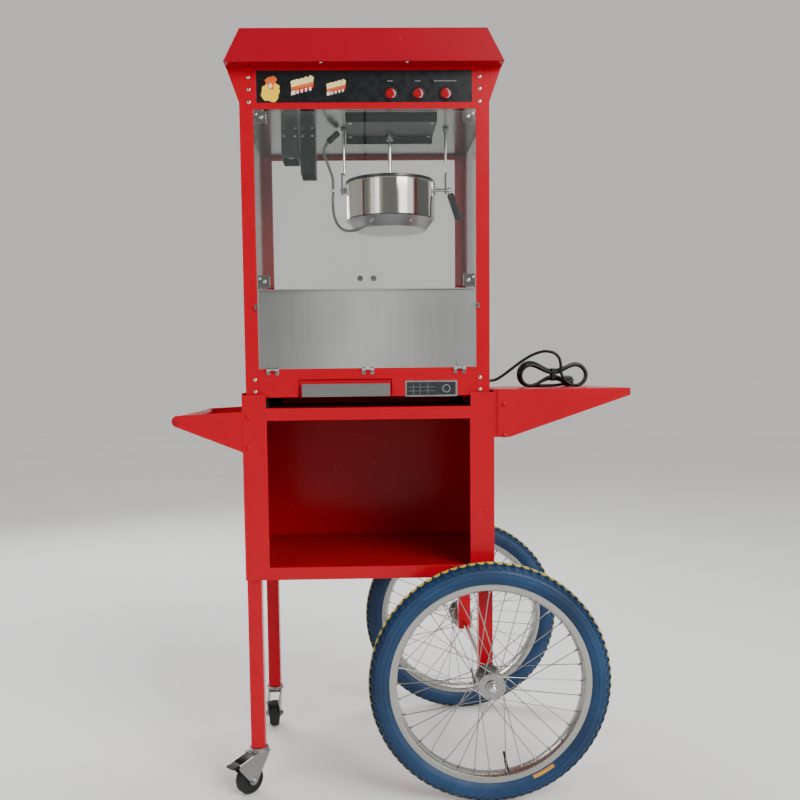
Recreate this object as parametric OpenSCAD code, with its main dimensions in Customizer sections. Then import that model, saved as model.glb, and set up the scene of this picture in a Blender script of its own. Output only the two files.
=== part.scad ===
// Popcorn machine on a wheeled cart. Millimetres, +Z up, front towards -Y.
// All modules use an X axis centred on the machine; in_frame() then moves the whole model
// so that the origin is at the bottom centre of its bounding box.

/* [Cart] */
// Width of the cabinet
cart_w = 525; // [520:1:560]
// Depth of the cabinet
cart_d = 418; // [414:1:440]
// Height of the cabinet's lower edge
cabinet_z = 461; // [430:1:490]
// Height of the deck that the machine stands on
deck_z = 823; // [800:1:850]
// Width of the cabinet's front posts
post_w = 50; // [40:1:60]
// Height of the rails above and below the cabinet opening
rail_h = 26; // [20:1:32]
// Side of the square leg tube
leg_s = 30; // [25:1:32]
// How far the push handle reaches left of the centre
reach_left = 408; // [380:1:440]
// How far the side tray reaches right of the centre
reach_right = 548; // [520:1:580]
// Height of the side tray's top
tray_z = 857; // [850:1:860]

/* [Wheels] */
// Outside diameter of a big wheel
wheel_d = 505; // [490:1:520]
// Distance of each big wheel's plane from the centre
wheel_y = 266; // [262:1:275]
// Number of spokes in a big wheel
spoke_count = 36; // [20:4:36]
// Diameter of a caster wheel
caster_d = 63; // [56:1:66]
// Height of a caster, floor to leg
caster_h = 95; // [92:1:105]

/* [Machine] */
// Width of the machine over its posts
body_w = 508; // [500:1:510]
// Depth of the machine over its posts
body_d = 400; // [390:1:404]
// Height of the rubber feet
foot_h = 22; // [18:1:26]
// Height of the base housing
base_h = 59; // [55:1:65]
// Height of the cabin, base to ceiling
cabin_h = 524; // [510:1:540]
// Height of the header, ceiling to roof
header_h = 83; // [80:1:90]
// Height of the roof cap
roof_h = 75; // [60:1:90]
// Width of the roof at its eave
roof_w = 560; // [550:1:570]
// Width of the roof's flat top
roof_top_w = 500; // [480:1:520]
// Width of a corner post's face
angle_w = 28; // [24:1:30]

/* [Kettle] */
// Outside diameter of the kettle's wall
kettle_d = 194; // [170:1:196]
// Depth of the kettle
kettle_h = 83; // [75:1:90]
// Height of the kettle's rim
kettle_rim_z = 1311; // [1305:1:1316]

/* [Mains lead] */
// Diameter of the mains lead
cord_d = 7; // [6:0.5:8]

/* [Hidden] */
$fn = 48;

// Sheet metal, gaps and fits
sheet = 2;
gap = 0.5;
fit = 0.05;
glass_t = 4;
eps = 0.01;

// Colours
red = [0.78, 0.09, 0.09];
dark_red = [0.45, 0.05, 0.05];
steel = [0.72, 0.73, 0.74];
dark_grey = [0.22, 0.24, 0.25];
black = [0.06, 0.06, 0.07];
blue = [0.10, 0.24, 0.48];
clear = [0.80, 0.90, 0.90, 0.35];

// Cart planes
cx = cart_w / 2;
cy = cart_d / 2;
opening_z0 = cabinet_z + rail_h;
opening_z1 = deck_z - rail_h + 1;
floor_z = opening_z0 - sheet;
opening_x = cx - post_w;
upstand_z = tray_z - sheet;
leg_y = cy - 19;
left_leg_x = -cx + sheet + 0.5 + leg_s / 2;
axle_x = 244;
axle_z = wheel_d / 2;
axle_r = 6;

// Machine planes
mx = body_w / 2;
my0 = -201;
my1 = my0 + body_d;
base_z = deck_z + foot_h;
base_top = base_z + base_h;
ceiling_z = base_top + cabin_h;
header_top = ceiling_z + header_h;
roof_top = header_top + roof_h;
post_in = mx - angle_w;
door_x = post_in - 3;
steel_top = base_top + 154;
panel_z0 = ceiling_z + 13;
panel_z1 = header_top - 7;
panel_x = 218.5;
switch_x = [53, 109, 165];
switch_z = 1457;

// Drop door hinge line, with its three knuckles
hinge_y = my0 - 4;
hinge_z = base_top - 1;
hinge_x = [-197, 0, 191];
knuckle_r = 3.5;
knuckle_len = 10;
pin_r = 1.5;

// Glass doors and their pivots
pivot_x = 218;
pivot_y = my0 + 4;
pivot_r = 2.5;
pivot_len = 2.8;
door_z0 = steel_top + 13;
door_z1 = ceiling_z - 3.5;
door_meet = 1.5;

// Kettle planes
kx = 56;
ky = -50;
tilt_z = kettle_rim_z - 16;
kettle_r = kettle_d / 2;
bead_r = kettle_r + 1.5;
pot_z0 = kettle_rim_z - kettle_h;
pot_bottom = 3;
base_cover_h = 21;
hanger_x = [-45, 179];
lid_hinge_y = 25;
shaft_r = 4;
shaft_top = 1400;
coupler_z = shaft_top + 3;
drive_end = 9;
lever_dir = [0.32, 0, -0.95];
lever_root = [hanger_x[1] + 7, ky, tilt_z];
lever_len = 62;
lever_ball_r = 6;

// Lamp and exhaust boxes that hang from the ceiling
box_y = [-30, 50];
box_wall = 1.5;
lamp_x = [-184, -147];
lamp_z = 1372;
exhaust_x = [-142, -109];
exhaust_z = 1339;
socket_len = 20;

// Drawer
drawer_x0 = -144;
drawer_x1 = 49;
drawer_z0 = base_z + sheet;
drawer_z1 = drawer_z0 + 34;

// Mains lead: where it leaves the gland, the arch to the hank, and the hank
gland_z = 873;
gland_end_x = 284;
arch_route = [[284, 0, 873], [296, 0, 875], [308, -1, 881], [325, -2, 893], [342, -4, 906],
    [360, -7, 919], [380, -10, 931], [400, -14, 938], [413, -16, 939], [429, -18, 936],
    [440, -18, 928], [445, -18, 919], [445, -18, 915]];
hank_x0 = 347;
hank_len = 165;
hank_h = 58;
hank_t = 44;
plug_x = 485;
plug_r = 13;

// Kettle lead: upper part fixed to the ceiling, lower part carried by the kettle
lead_r = 3.2;
lead_x = -70;
upper_lead_route = [[-80, -50, 1400], [-85, -50, 1393.8], [-88.1, -50, 1386.4],
    [-88.9, -50, 1378.5], [-87.3, -50, 1370.7], [-77.4, -50, 1343.4], [-72.4, -50, 1329.7],
    [-70.6, -50, 1322.9], [-70, -50, 1316], [-70, -50, 1300]];
lower_lead_route = [[-70, -50, 1291], [-71, -52, 1270], [-69, -60, 1244], [-61, -76, 1219],
    [-46, -96, 1203], [-27, -112, 1199], [-9, -121, 1204], [6, -124, 1213], [19, -122, 1222]];

// Big wheels
hub_half = 34;
nut_r = 9.5;
tyre_r = 25.5;
rim_edge_r = 213;
right_leg_z = axle_z - 15;

// Casters: fork, pins and the direction in which each one trails
caster_trail = 28;
front_trail_angle = 225;
rear_trail_angle = 270;
stem_r = 5.5;
caster_r = caster_d / 2;
caster_half_w = 12;
cheek_y = 13.5;
cheek_t = 2.5;
caster_pin_r = 4;
crown_z = 84;
brake_x = 58;
brake_z = 70;
brake_pin_r = 2.5;

// ---------- shared shapes ----------

module in_frame() {
    translate([(reach_left - reach_right) / 2, 0, 0]) children();
}

module block(x0, x1, y0, y1, z0, z1) {
    translate([x0, y0, z0]) cube([x1 - x0, y1 - y0, z1 - z0]);
}

// A cylinder between two points
module rod(a, b, r) {
    d = b - a;
    len = norm(d);
    translate(a) rotate([0, acos(d[2] / len), atan2(d[1], d[0])]) cylinder(h = len, r = r);
}

// A cylinder along X, or along Y, from its low end
module bar_x(x0, x1, y, z, r, sides = 48) {
    translate([x0, y, z]) rotate([0, 90, 0]) cylinder(h = x1 - x0, r = r, $fn = sides);
}

module bar_y(x, y0, y1, z, r, sides = 48) {
    translate([x, y1, z]) rotate([90, 0, 0]) cylinder(h = y1 - y0, r = r, $fn = sides);
}

// An outline drawn in X and Z, as thick as y0 to y1
module plate_xz(y0, y1) {
    translate([0, y1, 0]) rotate([90, 0, 0]) linear_extrude(y1 - y0) children();
}

// An outline drawn in Y and Z, as thick as x0 to x1
module plate_yz(x0, x1) {
    translate([x0, 0, 0]) rotate([90, 0, 90]) linear_extrude(x1 - x0) children();
}

module both_sides() {
    children();
    mirror([1, 0, 0]) children();
}

module front_and_rear() {
    children();
    mirror([0, 1, 0]) children();
}

// A tube swept along a smooth curve through the route's points
function curve_point(p0, p1, p2, p3, t) = 0.5 * ((2 * p1) + (p2 - p0) * t
    + (2 * p0 - 5 * p1 + 4 * p2 - p3) * t * t + (3 * p1 - p0 - 3 * p2 + p3) * t * t * t);
function at(route, i) = route[max(0, min(len(route) - 1, i))];
function smooth(route, steps) = [
    for (i = [0 : len(route) - 2]) for (s = [0 : steps - 1])
        curve_point(at(route, i - 1), at(route, i), at(route, i + 1), at(route, i + 2), s / steps),
    route[len(route) - 1]];
function unit(v) = v / norm(v);
function tangent(route, i) = unit(at(route, i + 1) - at(route, i - 1));
function ring(route, i, r, sides) =
    let (t = tangent(route, i), u = unit(cross(t, [0, 1, 0])), v = cross(t, u))
    [for (k = [0 : sides - 1])
        route[i] + r * (cos(360 * k / sides) * u + sin(360 * k / sides) * v)];

module tube(points, r, sides = 10, steps = 1) {
    route = smooth(points, steps);
    last = len(route) - 1;
    rings = [for (i = [0 : last]) each ring(route, i, r, sides)];
    walls = [for (i = [0 : last - 1]) for (k = [0 : sides - 1])
        let (n = (k + 1) % sides)
        [i * sides + k, (i + 1) * sides + k, (i + 1) * sides + n, i * sides + n]];
    first_cap = [for (k = [0 : sides - 1]) k];
    last_cap = [for (k = [sides - 1 : -1 : 0]) last * sides + k];
    polyhedron(points = rings, faces = concat(walls, [first_cap, last_cap]), convexity = 4);
}

// ---------- machine casing ----------

module roof_solid(inset, z0, z1) {
    half = roof_w / 2 - inset;
    top_half = roof_top_w / 2 - inset;
    eave_y = my0 - 33.5 + inset;
    top_y = my0 - 4 + inset;
    intersection() {
        plate_xz(my0 - 50, my1 - inset)
            polygon([[-half, z0], [half, z0], [top_half, z1], [-top_half, z1]]);
        plate_yz(-roof_w, roof_w)
            polygon([[eave_y, z0], [my1 - inset, z0], [my1 - inset, z1], [top_y, z1]]);
    }
}

module roof() {
    soffit_edge = 14;
    color(red) {
        difference() {
            roof_solid(0, header_top, roof_top);
            roof_solid(sheet + 0.3, header_top + sheet, roof_top - sheet);
            block(-mx + soffit_edge, mx - soffit_edge, my0 + soffit_edge, my1 - soffit_edge,
                header_top - 1, header_top + sheet + 1);
        }
    }
}

// The four flush skins between the posts, with the wall ring behind them
module skin_ring(z0, z1) {
    block(-post_in, post_in, my0, my0 + sheet, z0, z1);
    block(-post_in, post_in, my1 - sheet, my1, z0, z1);
    both_sides() block(mx - sheet, mx, my0 + angle_w, my1 - angle_w, z0, z1);
}

module wall_ring(z0, z1) {
    difference() {
        block(-mx + sheet, mx - sheet, my0 + sheet, my1 - sheet, z0, z1);
        block(-mx + 2 * sheet, mx - 2 * sheet, my0 + 2 * sheet, my1 - 2 * sheet, z0 - 1, z1 + 1);
    }
}

// Sloping soffits that join the header's sides to the eave, closed by gussets
module side_soffit() {
    lean = roof_w / 2 - mx - 1;
    flare_z = ceiling_z + 13;
    difference() {
        plate_xz(my0, my1)
            polygon([[mx, flare_z], [mx + lean, header_top], [mx, header_top]]);
        plate_xz(my0 + sheet, my1 - sheet)
            polygon([[mx - 1, flare_z + 2 * sheet], [mx + lean - sheet, header_top + 1],
                [mx - 1, header_top + 1]]);
    }
}

module header_housing() {
    color(red) {
        difference() {
            union() {
                skin_ring(ceiling_z, header_top);
                wall_ring(ceiling_z + sheet, header_top);
            }
            block(-panel_x, panel_x, my0 - 1, my0 + sheet, panel_z0, panel_z1);
            for (x = switch_x) bar_y(x, my0 - 1, my0 + 3 * sheet, switch_z, 12);
        }
        both_sides() side_soffit();
    }
}

module ceiling_plate() {
    color(steel) difference() {
        block(-mx + sheet, mx - sheet, my0 + sheet, my1 - sheet, ceiling_z, ceiling_z + sheet);
        translate([kx, ky, ceiling_z - 1]) cylinder(h = 2 * sheet, r = 6);
    }
}

module control_panel() {
    bezel_r = 14;
    bezel_bore = 11.4;
    bezel_h = 2.5;
    color(black) {
        difference() {
            union() {
                block(-panel_x, panel_x, my0, my0 + sheet, panel_z0, panel_z1);
                for (x = switch_x) bar_y(x, my0 - bezel_h, my0, switch_z, bezel_r);
            }
            for (x = switch_x) bar_y(x, my0 - 3, my0 + 3 * sheet, switch_z, bezel_bore);
        }
    }
}

module rocker(x) {
    rocker_r = 10.2;
    half_depth = 4;
    rest_tilt = -7;
    pin_reach = 10.6;
    color(red) translate([x, my0, switch_z]) {
        rotate([rest_tilt, 0, 0]) bar_y(0, -half_depth, half_depth, 0, rocker_r);
        bar_x(-pin_reach, pin_reach, 0, 0, 1.5);
    }
}

module rocker_stir() rocker(switch_x[0]);
module rocker_heat() rocker(switch_x[1]);
module rocker_lamp() rocker(switch_x[2]);

// An angle-section post at the front left; the others are its mirror images
module corner_posts() {
    mid = (my0 + my1) / 2;
    color(red) both_sides() translate([0, mid, 0]) front_and_rear() translate([0, -mid, base_z])
        linear_extrude(header_top - base_z)
            polygon([[-mx, my0], [-post_in, my0], [-post_in, my0 + sheet],
                [-mx + sheet, my0 + sheet], [-mx + sheet, my0 + angle_w], [-mx, my0 + angle_w]]);
}

module base_housing() {
    color(red) difference() {
        union() {
            skin_ring(base_z, base_top);
            wall_ring(base_z + sheet, base_top);
            block(-mx + sheet, mx - sheet, my0 + sheet, my1 - sheet, base_z, base_z + sheet);
        }
        block(drawer_x0, drawer_x1, my0 - 1, my0 + 2 * sheet + eps, drawer_z0, drawer_z1);
    }
}

module sifting_floor() {
    inset = 2 * sheet + gap;
    slot_w = 6;
    slot_pitch = 22;
    color(steel) difference() {
        block(-mx + inset, mx - inset, my0 + inset, my1 - inset, base_top - 4, base_top - 2);
        for (i = [-4 : 4]) block(-95, 95, i * slot_pitch - slot_w / 2, i * slot_pitch + slot_w / 2,
            base_top - 5, base_top);
    }
}

module crumb_drawer() {
    wall = 1.5;
    x0 = drawer_x0 + 3;
    x1 = drawer_x1 - 3;
    y0 = my0 + 4;
    y1 = my0 + 311;
    z0 = drawer_z0 + 1.5;
    z1 = drawer_z1 - 5;
    color(red) {
        difference() {
            block(x0, x1, y0, y1, z0, z1);
            block(x0 + wall, x1 - wall, y0 + wall, y1 - wall, z0 + wall, z1 + 1);
        }
        block(drawer_x0 + 1, drawer_x1 - 1, my0 + 1.5, y0, drawer_z0 + 1, drawer_z1 - 1);
    }
}

module drawer_pull() {
    x0 = -137;
    x1 = 45;
    z0 = 845.5;
    z1 = 872;
    front_y = my0 - 12;
    color(steel) {
        block(x0, x1, front_y, front_y + 1.5, z0, z1);
        block(x0, x1, front_y + 1.5, my0 + 1.5, z1 - 1.5, z1);
    }
}

// ---------- drop door and glass ----------

module steel_door() {
    z0 = base_top + gap;
    depth = 15;
    lip_z = steel_top + 9;
    color(steel) difference() {
        union() {
            difference() {
                block(-door_x, door_x, my0, my0 + depth, z0, steel_top);
                block(-door_x + sheet, door_x - sheet, my0 + sheet, my0 + depth + 1,
                    z0 + sheet, steel_top - sheet);
            }
            block(-door_x, door_x, my0 + 6, my0 + 8, steel_top, lip_z);
            for (x = hinge_x) {
                bar_x(x - knuckle_len / 2, x + knuckle_len / 2, hinge_y, hinge_z, knuckle_r);
                block(x - knuckle_len / 2, x + knuckle_len / 2, my0 - 2, my0, hinge_z + 2,
                    hinge_z + 12);
            }
        }
        for (x = hinge_x) bar_x(x - knuckle_len, x + knuckle_len, hinge_y, hinge_z, pin_r + fit);
    }
}

// Fixed halves of the hinges, the glass doors' pivot brackets and the drop door's catches
module door_fittings() {
    outer = knuckle_len / 2 + gap;
    catch_z = 1031;
    color(steel) {
        for (x = hinge_x) {
            bar_x(x - outer, x + outer, hinge_y, hinge_z, pin_r);
            for (side = [-1, 1]) {
                inner_x = x + side * outer;
                outer_x = x + side * (outer + 7);
                bar_x(min(inner_x, outer_x), max(inner_x, outer_x), hinge_y, hinge_z, knuckle_r);
                block(min(inner_x, outer_x), max(inner_x, outer_x), my0 - 2, my0,
                    hinge_z - 12, hinge_z - 1);
            }
        }
        both_sides() {
            difference() {
                union() {
                    block(-post_in, -post_in + 20, my0 + 1, my0 + 11, steel_top + 10.6,
                        steel_top + 12.6);
                    block(-post_in, -post_in + 20, my0 + 1, my0 + 11, ceiling_z - 3, ceiling_z);
                }
                translate([-pivot_x, pivot_y, steel_top]) cylinder(h = cabin_h, r = pivot_r + fit);
            }
            block(-post_in - 6, -post_in + 1.5, my0 - 4, my0, catch_z - 5, catch_z + 5);
        }
    }
}

module fixed_glass() {
    color(clear) {
        both_sides() block(mx - sheet - glass_t, mx - sheet, my0 + angle_w + 1, my1 - angle_w - 1,
            base_top, ceiling_z);
        block(-mx + sheet + glass_t + gap, mx - sheet - glass_t - gap, my1 - sheet - glass_t,
            my1 - sheet, base_top, ceiling_z);
    }
}

module door_pane() {
    block(-pivot_x - 4, -door_meet, pivot_y - glass_t / 2, pivot_y + glass_t / 2, door_z0 + 1,
        door_z1 - 1);
}

module glass_door_left() color(clear) door_pane();
module glass_door_right() color(clear) mirror([1, 0, 0]) door_pane();

// Clamps and pivot pins at the hinge edge, and a knob at the free edge
module door_hardware() {
    clamp_h = 25;
    clamp_t = 4.5;
    knob_x = -14;
    knob_z = 1087;
    knob_r = 6;
    neck_r = 2.5;
    glass_y = pivot_y - glass_t / 2;
    difference() {
        for (z = [door_z0, door_z1 - clamp_h])
            block(-pivot_x - 6, -pivot_x + 18, pivot_y - clamp_t, pivot_y + clamp_t, z, z + clamp_h);
        door_pane();
    }
    translate([-pivot_x, pivot_y, door_z0 - pivot_len]) cylinder(h = pivot_len, r = pivot_r);
    translate([-pivot_x, pivot_y, door_z1]) cylinder(h = pivot_len, r = pivot_r);
    bar_y(knob_x, glass_y - 6, glass_y, knob_z, neck_r);
    bar_y(knob_x, glass_y - 14, glass_y - 6, knob_z, knob_r);
}

module door_hardware_left() color(steel) door_hardware();
module door_hardware_right() color(steel) mirror([1, 0, 0]) door_hardware();

// ---------- stirring drive ----------

// Gearmotor above the ceiling and its channel-shaped bracket below it
module stir_motor() {
    bracket_x0 = -40;
    bracket_x1 = 152;
    bracket_y0 = -150;
    bracket_y1 = -20;
    bracket_z = ceiling_z - 12;
    flange_h = 13;
    motor_z = ceiling_z + sheet;
    foot_half = 36;
    foot_t = 3;
    gearbox_h = 28;
    color(dark_grey) difference() {
        union() {
            block(bracket_x0, bracket_x1, bracket_y0, bracket_y1, bracket_z, ceiling_z);
            block(bracket_x0, bracket_x1, bracket_y1 - sheet, bracket_y1, bracket_z - flange_h,
                bracket_z);
            block(kx - foot_half, kx + foot_half, ky - foot_half, ky + foot_half, motor_z,
                motor_z + foot_t);
            translate([kx, ky, motor_z + foot_t]) cylinder(h = gearbox_h, r = 32);
            translate([kx, ky, motor_z + foot_t + gearbox_h]) cylinder(h = 38, r = 26);
        }
        translate([kx, ky, bracket_z - 1]) cylinder(h = ceiling_z - bracket_z + 1, r = 8);
        translate([kx, ky, motor_z - 1]) cylinder(h = drive_end + 2, r = shaft_r + fit);
    }
}

module motor_coupler() {
    cup_r = 7.5;
    cup_h = 10;
    slot_w = 4;
    color(steel) difference() {
        union() {
            translate([kx, ky, coupler_z]) cylinder(h = cup_h, r = cup_r);
            translate([kx, ky, coupler_z + cup_h])
                cylinder(h = ceiling_z + sheet + drive_end - coupler_z - cup_h, r = shaft_r);
        }
        block(kx - slot_w / 2, kx + slot_w / 2, ky - cup_r - 1, ky + cup_r + 1, coupler_z - 1,
            coupler_z + cup_h / 2);
    }
}

module stirrer() {
    blade_r = 85;
    blade_z = pot_z0 + 5;
    tongue_h = 6;
    tongue_half = 1.8;
    foot_z = pot_z0 + pot_bottom + gap;
    color(steel) {
        difference() {
            translate([kx, ky, foot_z]) cylinder(h = shaft_top - foot_z, r = shaft_r);
            for (x = [kx - 8, kx + tongue_half])
                block(x, x + 8 - tongue_half, ky - 8, ky + 8, shaft_top - tongue_h, shaft_top + 1);
        }
        block(kx - blade_r, kx + blade_r, ky - 1.5, ky + 1.5, blade_z, blade_z + 9);
        block(kx - 1.5, kx + 1.5, ky - blade_r + 25, ky + blade_r - 25, blade_z + 14, blade_z + 20);
    }
}

// ---------- kettle ----------

module kettle_hanger() {
    rod_r = 3;
    foot_z = tilt_z + 33;
    plate_half = 8;
    step_half = 4;
    step_h = 4;
    plates = [[hanger_x[0] - 7, hanger_x[0] - 3], [hanger_x[1] - 3, hanger_x[1] + 1]];
    color(steel) {
        for (x = hanger_x) translate([x, ky, foot_z]) cylinder(h = ceiling_z - foot_z, r = rod_r);
        difference() {
            union() {
                for (p = plates) block(p[0], p[1], ky - plate_half, ky + plate_half,
                    tilt_z - 10, foot_z + step_h);
                block(plates[0][0], hanger_x[0] + rod_r, ky - step_half, ky + step_half, foot_z,
                    foot_z + step_h);
                block(plates[1][0], hanger_x[1] + rod_r, ky - step_half, ky + step_half, foot_z,
                    foot_z + step_h);
            }
            bar_x(hanger_x[0] - 20, hanger_x[1] + 20, ky, tilt_z, shaft_r + fit);
        }
    }
}

module kettle_pot() {
    wall = 1.5;
    bead_h = 6;
    color(steel) translate([kx, ky, pot_z0]) rotate_extrude()
        polygon([[0, 0], [kettle_r, 0], [kettle_r, kettle_h - bead_h], [bead_r, kettle_h - bead_h],
            [bead_r, kettle_h], [kettle_r - wall, kettle_h], [kettle_r - wall, pot_bottom],
            [0, pot_bottom]]);
}

// Heater cover under the pot, with the ring-shaped heating element in it
module kettle_base() {
    top_r = kettle_r - 3;
    low_r = 78;
    element_r = 60;
    color(dark_grey) translate([kx, ky, pot_z0 - base_cover_h]) {
        rotate_extrude()
            polygon([[0, 0], [low_r, 0], [top_r, base_cover_h], [top_r - sheet, base_cover_h],
                [low_r - sheet, sheet], [0, sheet]]);
        translate([0, 0, base_cover_h - 5]) rotate_extrude() translate([element_r, 0]) circle(r = 4.5);
    }
}

module kettle_lid_bar() {
    boss_r = 10;
    lid_gap = 2.2;
    color(steel) translate([kx, ky, kettle_rim_z]) difference() {
        union() {
            intersection() {
                cylinder(h = 1.8, r = bead_r);
                translate([-100, -lid_hinge_y + lid_gap, -1])
                    cube([200, 2 * (lid_hinge_y - lid_gap), 4]);
            }
            cylinder(h = 8, r = boss_r);
        }
        translate([0, 0, -1]) cylinder(h = 12, r = shaft_r + fit);
    }
}

// One flap of the lid: the round top beyond the hinge line, two knuckles and a small lift tab
module lid_flap() {
    lid_knuckle_r = 1.5;
    color(steel) {
        for (x = [-40, 40])
            bar_x(x - 9, x + 9, lid_hinge_y, kettle_rim_z + 1.8, lid_knuckle_r);
        intersection() {
            translate([0, 0, kettle_rim_z + 0.3]) cylinder(h = 1.5, r = bead_r);
            block(-100, 100, lid_hinge_y, 100, kettle_rim_z, kettle_rim_z + 3);
        }
        block(-12, 12, 78, 92, kettle_rim_z + 1.8, kettle_rim_z + 3.3);
    }
}

module lid_rear() translate([kx, ky, 0]) lid_flap();
module lid_front() translate([kx, ky, 0]) mirror([0, 1, 0]) lid_flap();

// Trunnion pins on both sides of the kettle, and the rod that carries the grip
module dump_lever() {
    color(steel) {
        bar_x(hanger_x[0] - 9, kx - kettle_r + 1, ky, tilt_z, shaft_r);
        bar_x(kx + kettle_r - 1, lever_root[0], ky, tilt_z, shaft_r);
        difference() {
            translate(lever_root) sphere(r = lever_ball_r);
            block(lever_root[0] - 20, hanger_x[1] + 2, ky - 9, ky + 9, tilt_z - 9, tilt_z + 9);
        }
        rod(lever_root, lever_root + lever_len * lever_dir, shaft_r);
    }
}

module dump_grip() {
    grip_r = 8.5;
    grip_len = 60;
    start = 8;
    color(black) difference() {
        rod(lever_root + start * lever_dir, lever_root + (start + grip_len) * lever_dir, grip_r);
        rod(lever_root, lever_root + lever_len * lever_dir, shaft_r);
        translate(lever_root) sphere(r = lever_ball_r);
    }
}

// The upper part hangs from an angled grip under the ceiling
module kettle_lead_upper() {
    sleeve_top = [-57, ky, ceiling_z - 7];
    color(dark_grey) {
        tube(upper_lead_route, lead_r, 8, 2);
        rod(sleeve_top, upper_lead_route[0], 7);
    }
}

module kettle_lead_lower() {
    color(dark_grey) {
        tube(lower_lead_route, lead_r, 8, 2);
        translate([lead_x, ky, tilt_z]) sphere(r = 4.6);
    }
}

// ---------- lamp and exhaust ----------

module hanging_box(x, z0) {
    difference() {
        block(x[0], x[1], box_y[0], box_y[1], z0, ceiling_z);
        block(x[0] + box_wall, x[1] - box_wall, box_y[0] + box_wall, box_y[1] - box_wall, z0 - 1,
            ceiling_z - box_wall);
    }
}

module at_lamp(z) {
    translate([(lamp_x[0] + lamp_x[1]) / 2, (box_y[0] + box_y[1]) / 2, z]) children();
}

module lamp_housing() {
    color(dark_grey) {
        hanging_box(lamp_x, lamp_z);
        at_lamp(ceiling_z - socket_len) cylinder(h = socket_len - box_wall, r = 11);
    }
}

module lamp_bulb() {
    bulb_z = lamp_z + 19;
    neck_z = bulb_z + 7;
    color(clear) {
        at_lamp(bulb_z) sphere(r = 12);
        at_lamp(neck_z) cylinder(h = ceiling_z - socket_len - neck_z, r = 8);
    }
}

module exhaust_duct() color(dark_grey) hanging_box(exhaust_x, exhaust_z);

module machine_feet() {
    color(black) both_sides() for (y = [my0 + 31, my1 - 31])
        translate([225, y, deck_z]) cylinder(h = foot_h, r = 16);
}

// ---------- mains lead ----------

module cord_gland() {
    nut_r = 11;
    color(black) {
        bar_x(mx, mx + 5, 0, gland_z, nut_r, 6);
        translate([mx + 5, 0, gland_z]) rotate([0, 90, 0])
            cylinder(h = gland_end_x - mx - 5, r1 = 7.5, r2 = cord_d / 2 + 1);
    }
}

module power_cord() color(black) tube(arch_route, cord_d / 2, 10);

module cord_hank() {
    r = hank_h / 2;
    color(black) plate_xz(-hank_t / 2, hank_t / 2) {
        for (x = [hank_x0 + r, hank_x0 + hank_len - r]) translate([x, tray_z + r]) circle(r = r);
        translate([hank_x0 + r, tray_z]) square([hank_len - hank_h, hank_h]);
    }
}

// Moulded plug with two pins, on the short end that leaves the back of the hank
module plug() {
    tail_len = 22;
    relief_len = 22;
    body_len = 36;
    pin_len = 19;
    pin_x = 6;
    y0 = hank_t / 2 + tail_len;
    z = tray_z + plug_r;
    color(black) {
        bar_y(plug_x, y0 - tail_len, y0, z, cord_d / 2);
        translate([plug_x, y0, z]) rotate([-90, 0, 0])
            cylinder(h = relief_len, r1 = cord_d / 2 + 1, r2 = 6);
        bar_y(plug_x, y0 + relief_len, y0 + relief_len + body_len, z, plug_r);
        for (x = [plug_x - pin_x, plug_x + pin_x])
            bar_y(x, y0 + relief_len + body_len, y0 + relief_len + body_len + pin_len, z, 2.4);
    }
}

// ---------- cart ----------

module cart_panels() {
    color(red) {
        both_sides() block(-cx, -cx + sheet, -cy + sheet, cy - sheet, cabinet_z, upstand_z);
        block(-cx, cx, cy - sheet, cy, cabinet_z, upstand_z - 4);
    }
}

module cart_shelves() {
    color(red) for (z = [floor_z, deck_z])
        block(-cx + sheet, cx - sheet, -cy + sheet, cy - sheet, z - sheet, z);
}

// Posts and rails round the opening, with flanges turned into the cabinet
module cart_front_frame() {
    flange = 18;
    color(red) {
        difference() {
            block(-cx, cx, -cy, -cy + sheet, cabinet_z, upstand_z - 4);
            block(-opening_x, opening_x, -cy - 1, -cy + sheet + 1, opening_z0, opening_z1);
            block(-opening_x, opening_x, -cy - 1, -cy + sheet + 1, deck_z, upstand_z);
        }
        both_sides() block(opening_x, opening_x + sheet, -cy + sheet, -cy + flange, floor_z,
            opening_z1 + sheet);
        block(-opening_x, opening_x, -cy + sheet, -cy + flange, floor_z, opening_z0);
        block(-opening_x, opening_x, -cy + sheet, -cy + flange, opening_z1, opening_z1 + sheet);
    }
}

module leg_tube(x, y, z0) {
    half = leg_s / 2;
    difference() {
        block(x - half, x + half, y - half, y + half, z0, floor_z - sheet);
        block(x - half + sheet, x + half - sheet, y - half + sheet, y + half - sheet, z0 + 2 * sheet,
            floor_z);
    }
}

module cart_legs() {
    color(red) difference() {
        front_and_rear() {
            leg_tube(left_leg_x, -leg_y, caster_h);
            leg_tube(axle_x, -leg_y, right_leg_z);
        }
        for (y = [-leg_y, leg_y]) translate([left_leg_x, y, caster_h - 1])
            cylinder(h = 10, r = stem_r + fit);
        bar_y(axle_x, -cy, cy, axle_z, axle_r);
    }
}

// Tapered arms in line with the cabinet's front and back, with a round bar between their tips
module push_handle() {
    tip_r = 12;
    tip_x = -reach_left + tip_r;
    tip_z = 798;
    root_top = 816;
    root_low = 732;
    bar_r = 11;
    flange_d = 30;
    low_slope = atan((tip_z - tip_r - root_low) / (tip_x + cx));
    color(red) {
        front_and_rear() {
            plate_xz(-cy, -cy + sheet) {
                translate([tip_x, tip_z]) circle(r = tip_r);
                polygon([[-cx, root_top], [-cx, root_low],
                    [tip_x + tip_r * sin(low_slope), tip_z - tip_r * cos(low_slope)],
                    [tip_x, tip_z + tip_r]]);
            }
            block(-cx - sheet, -cx, -cy + sheet, -cy + flange_d, root_low, root_top);
        }
        bar_y(tip_x, -cy + sheet, cy - sheet, tip_z, bar_r);
    }
}

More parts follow.
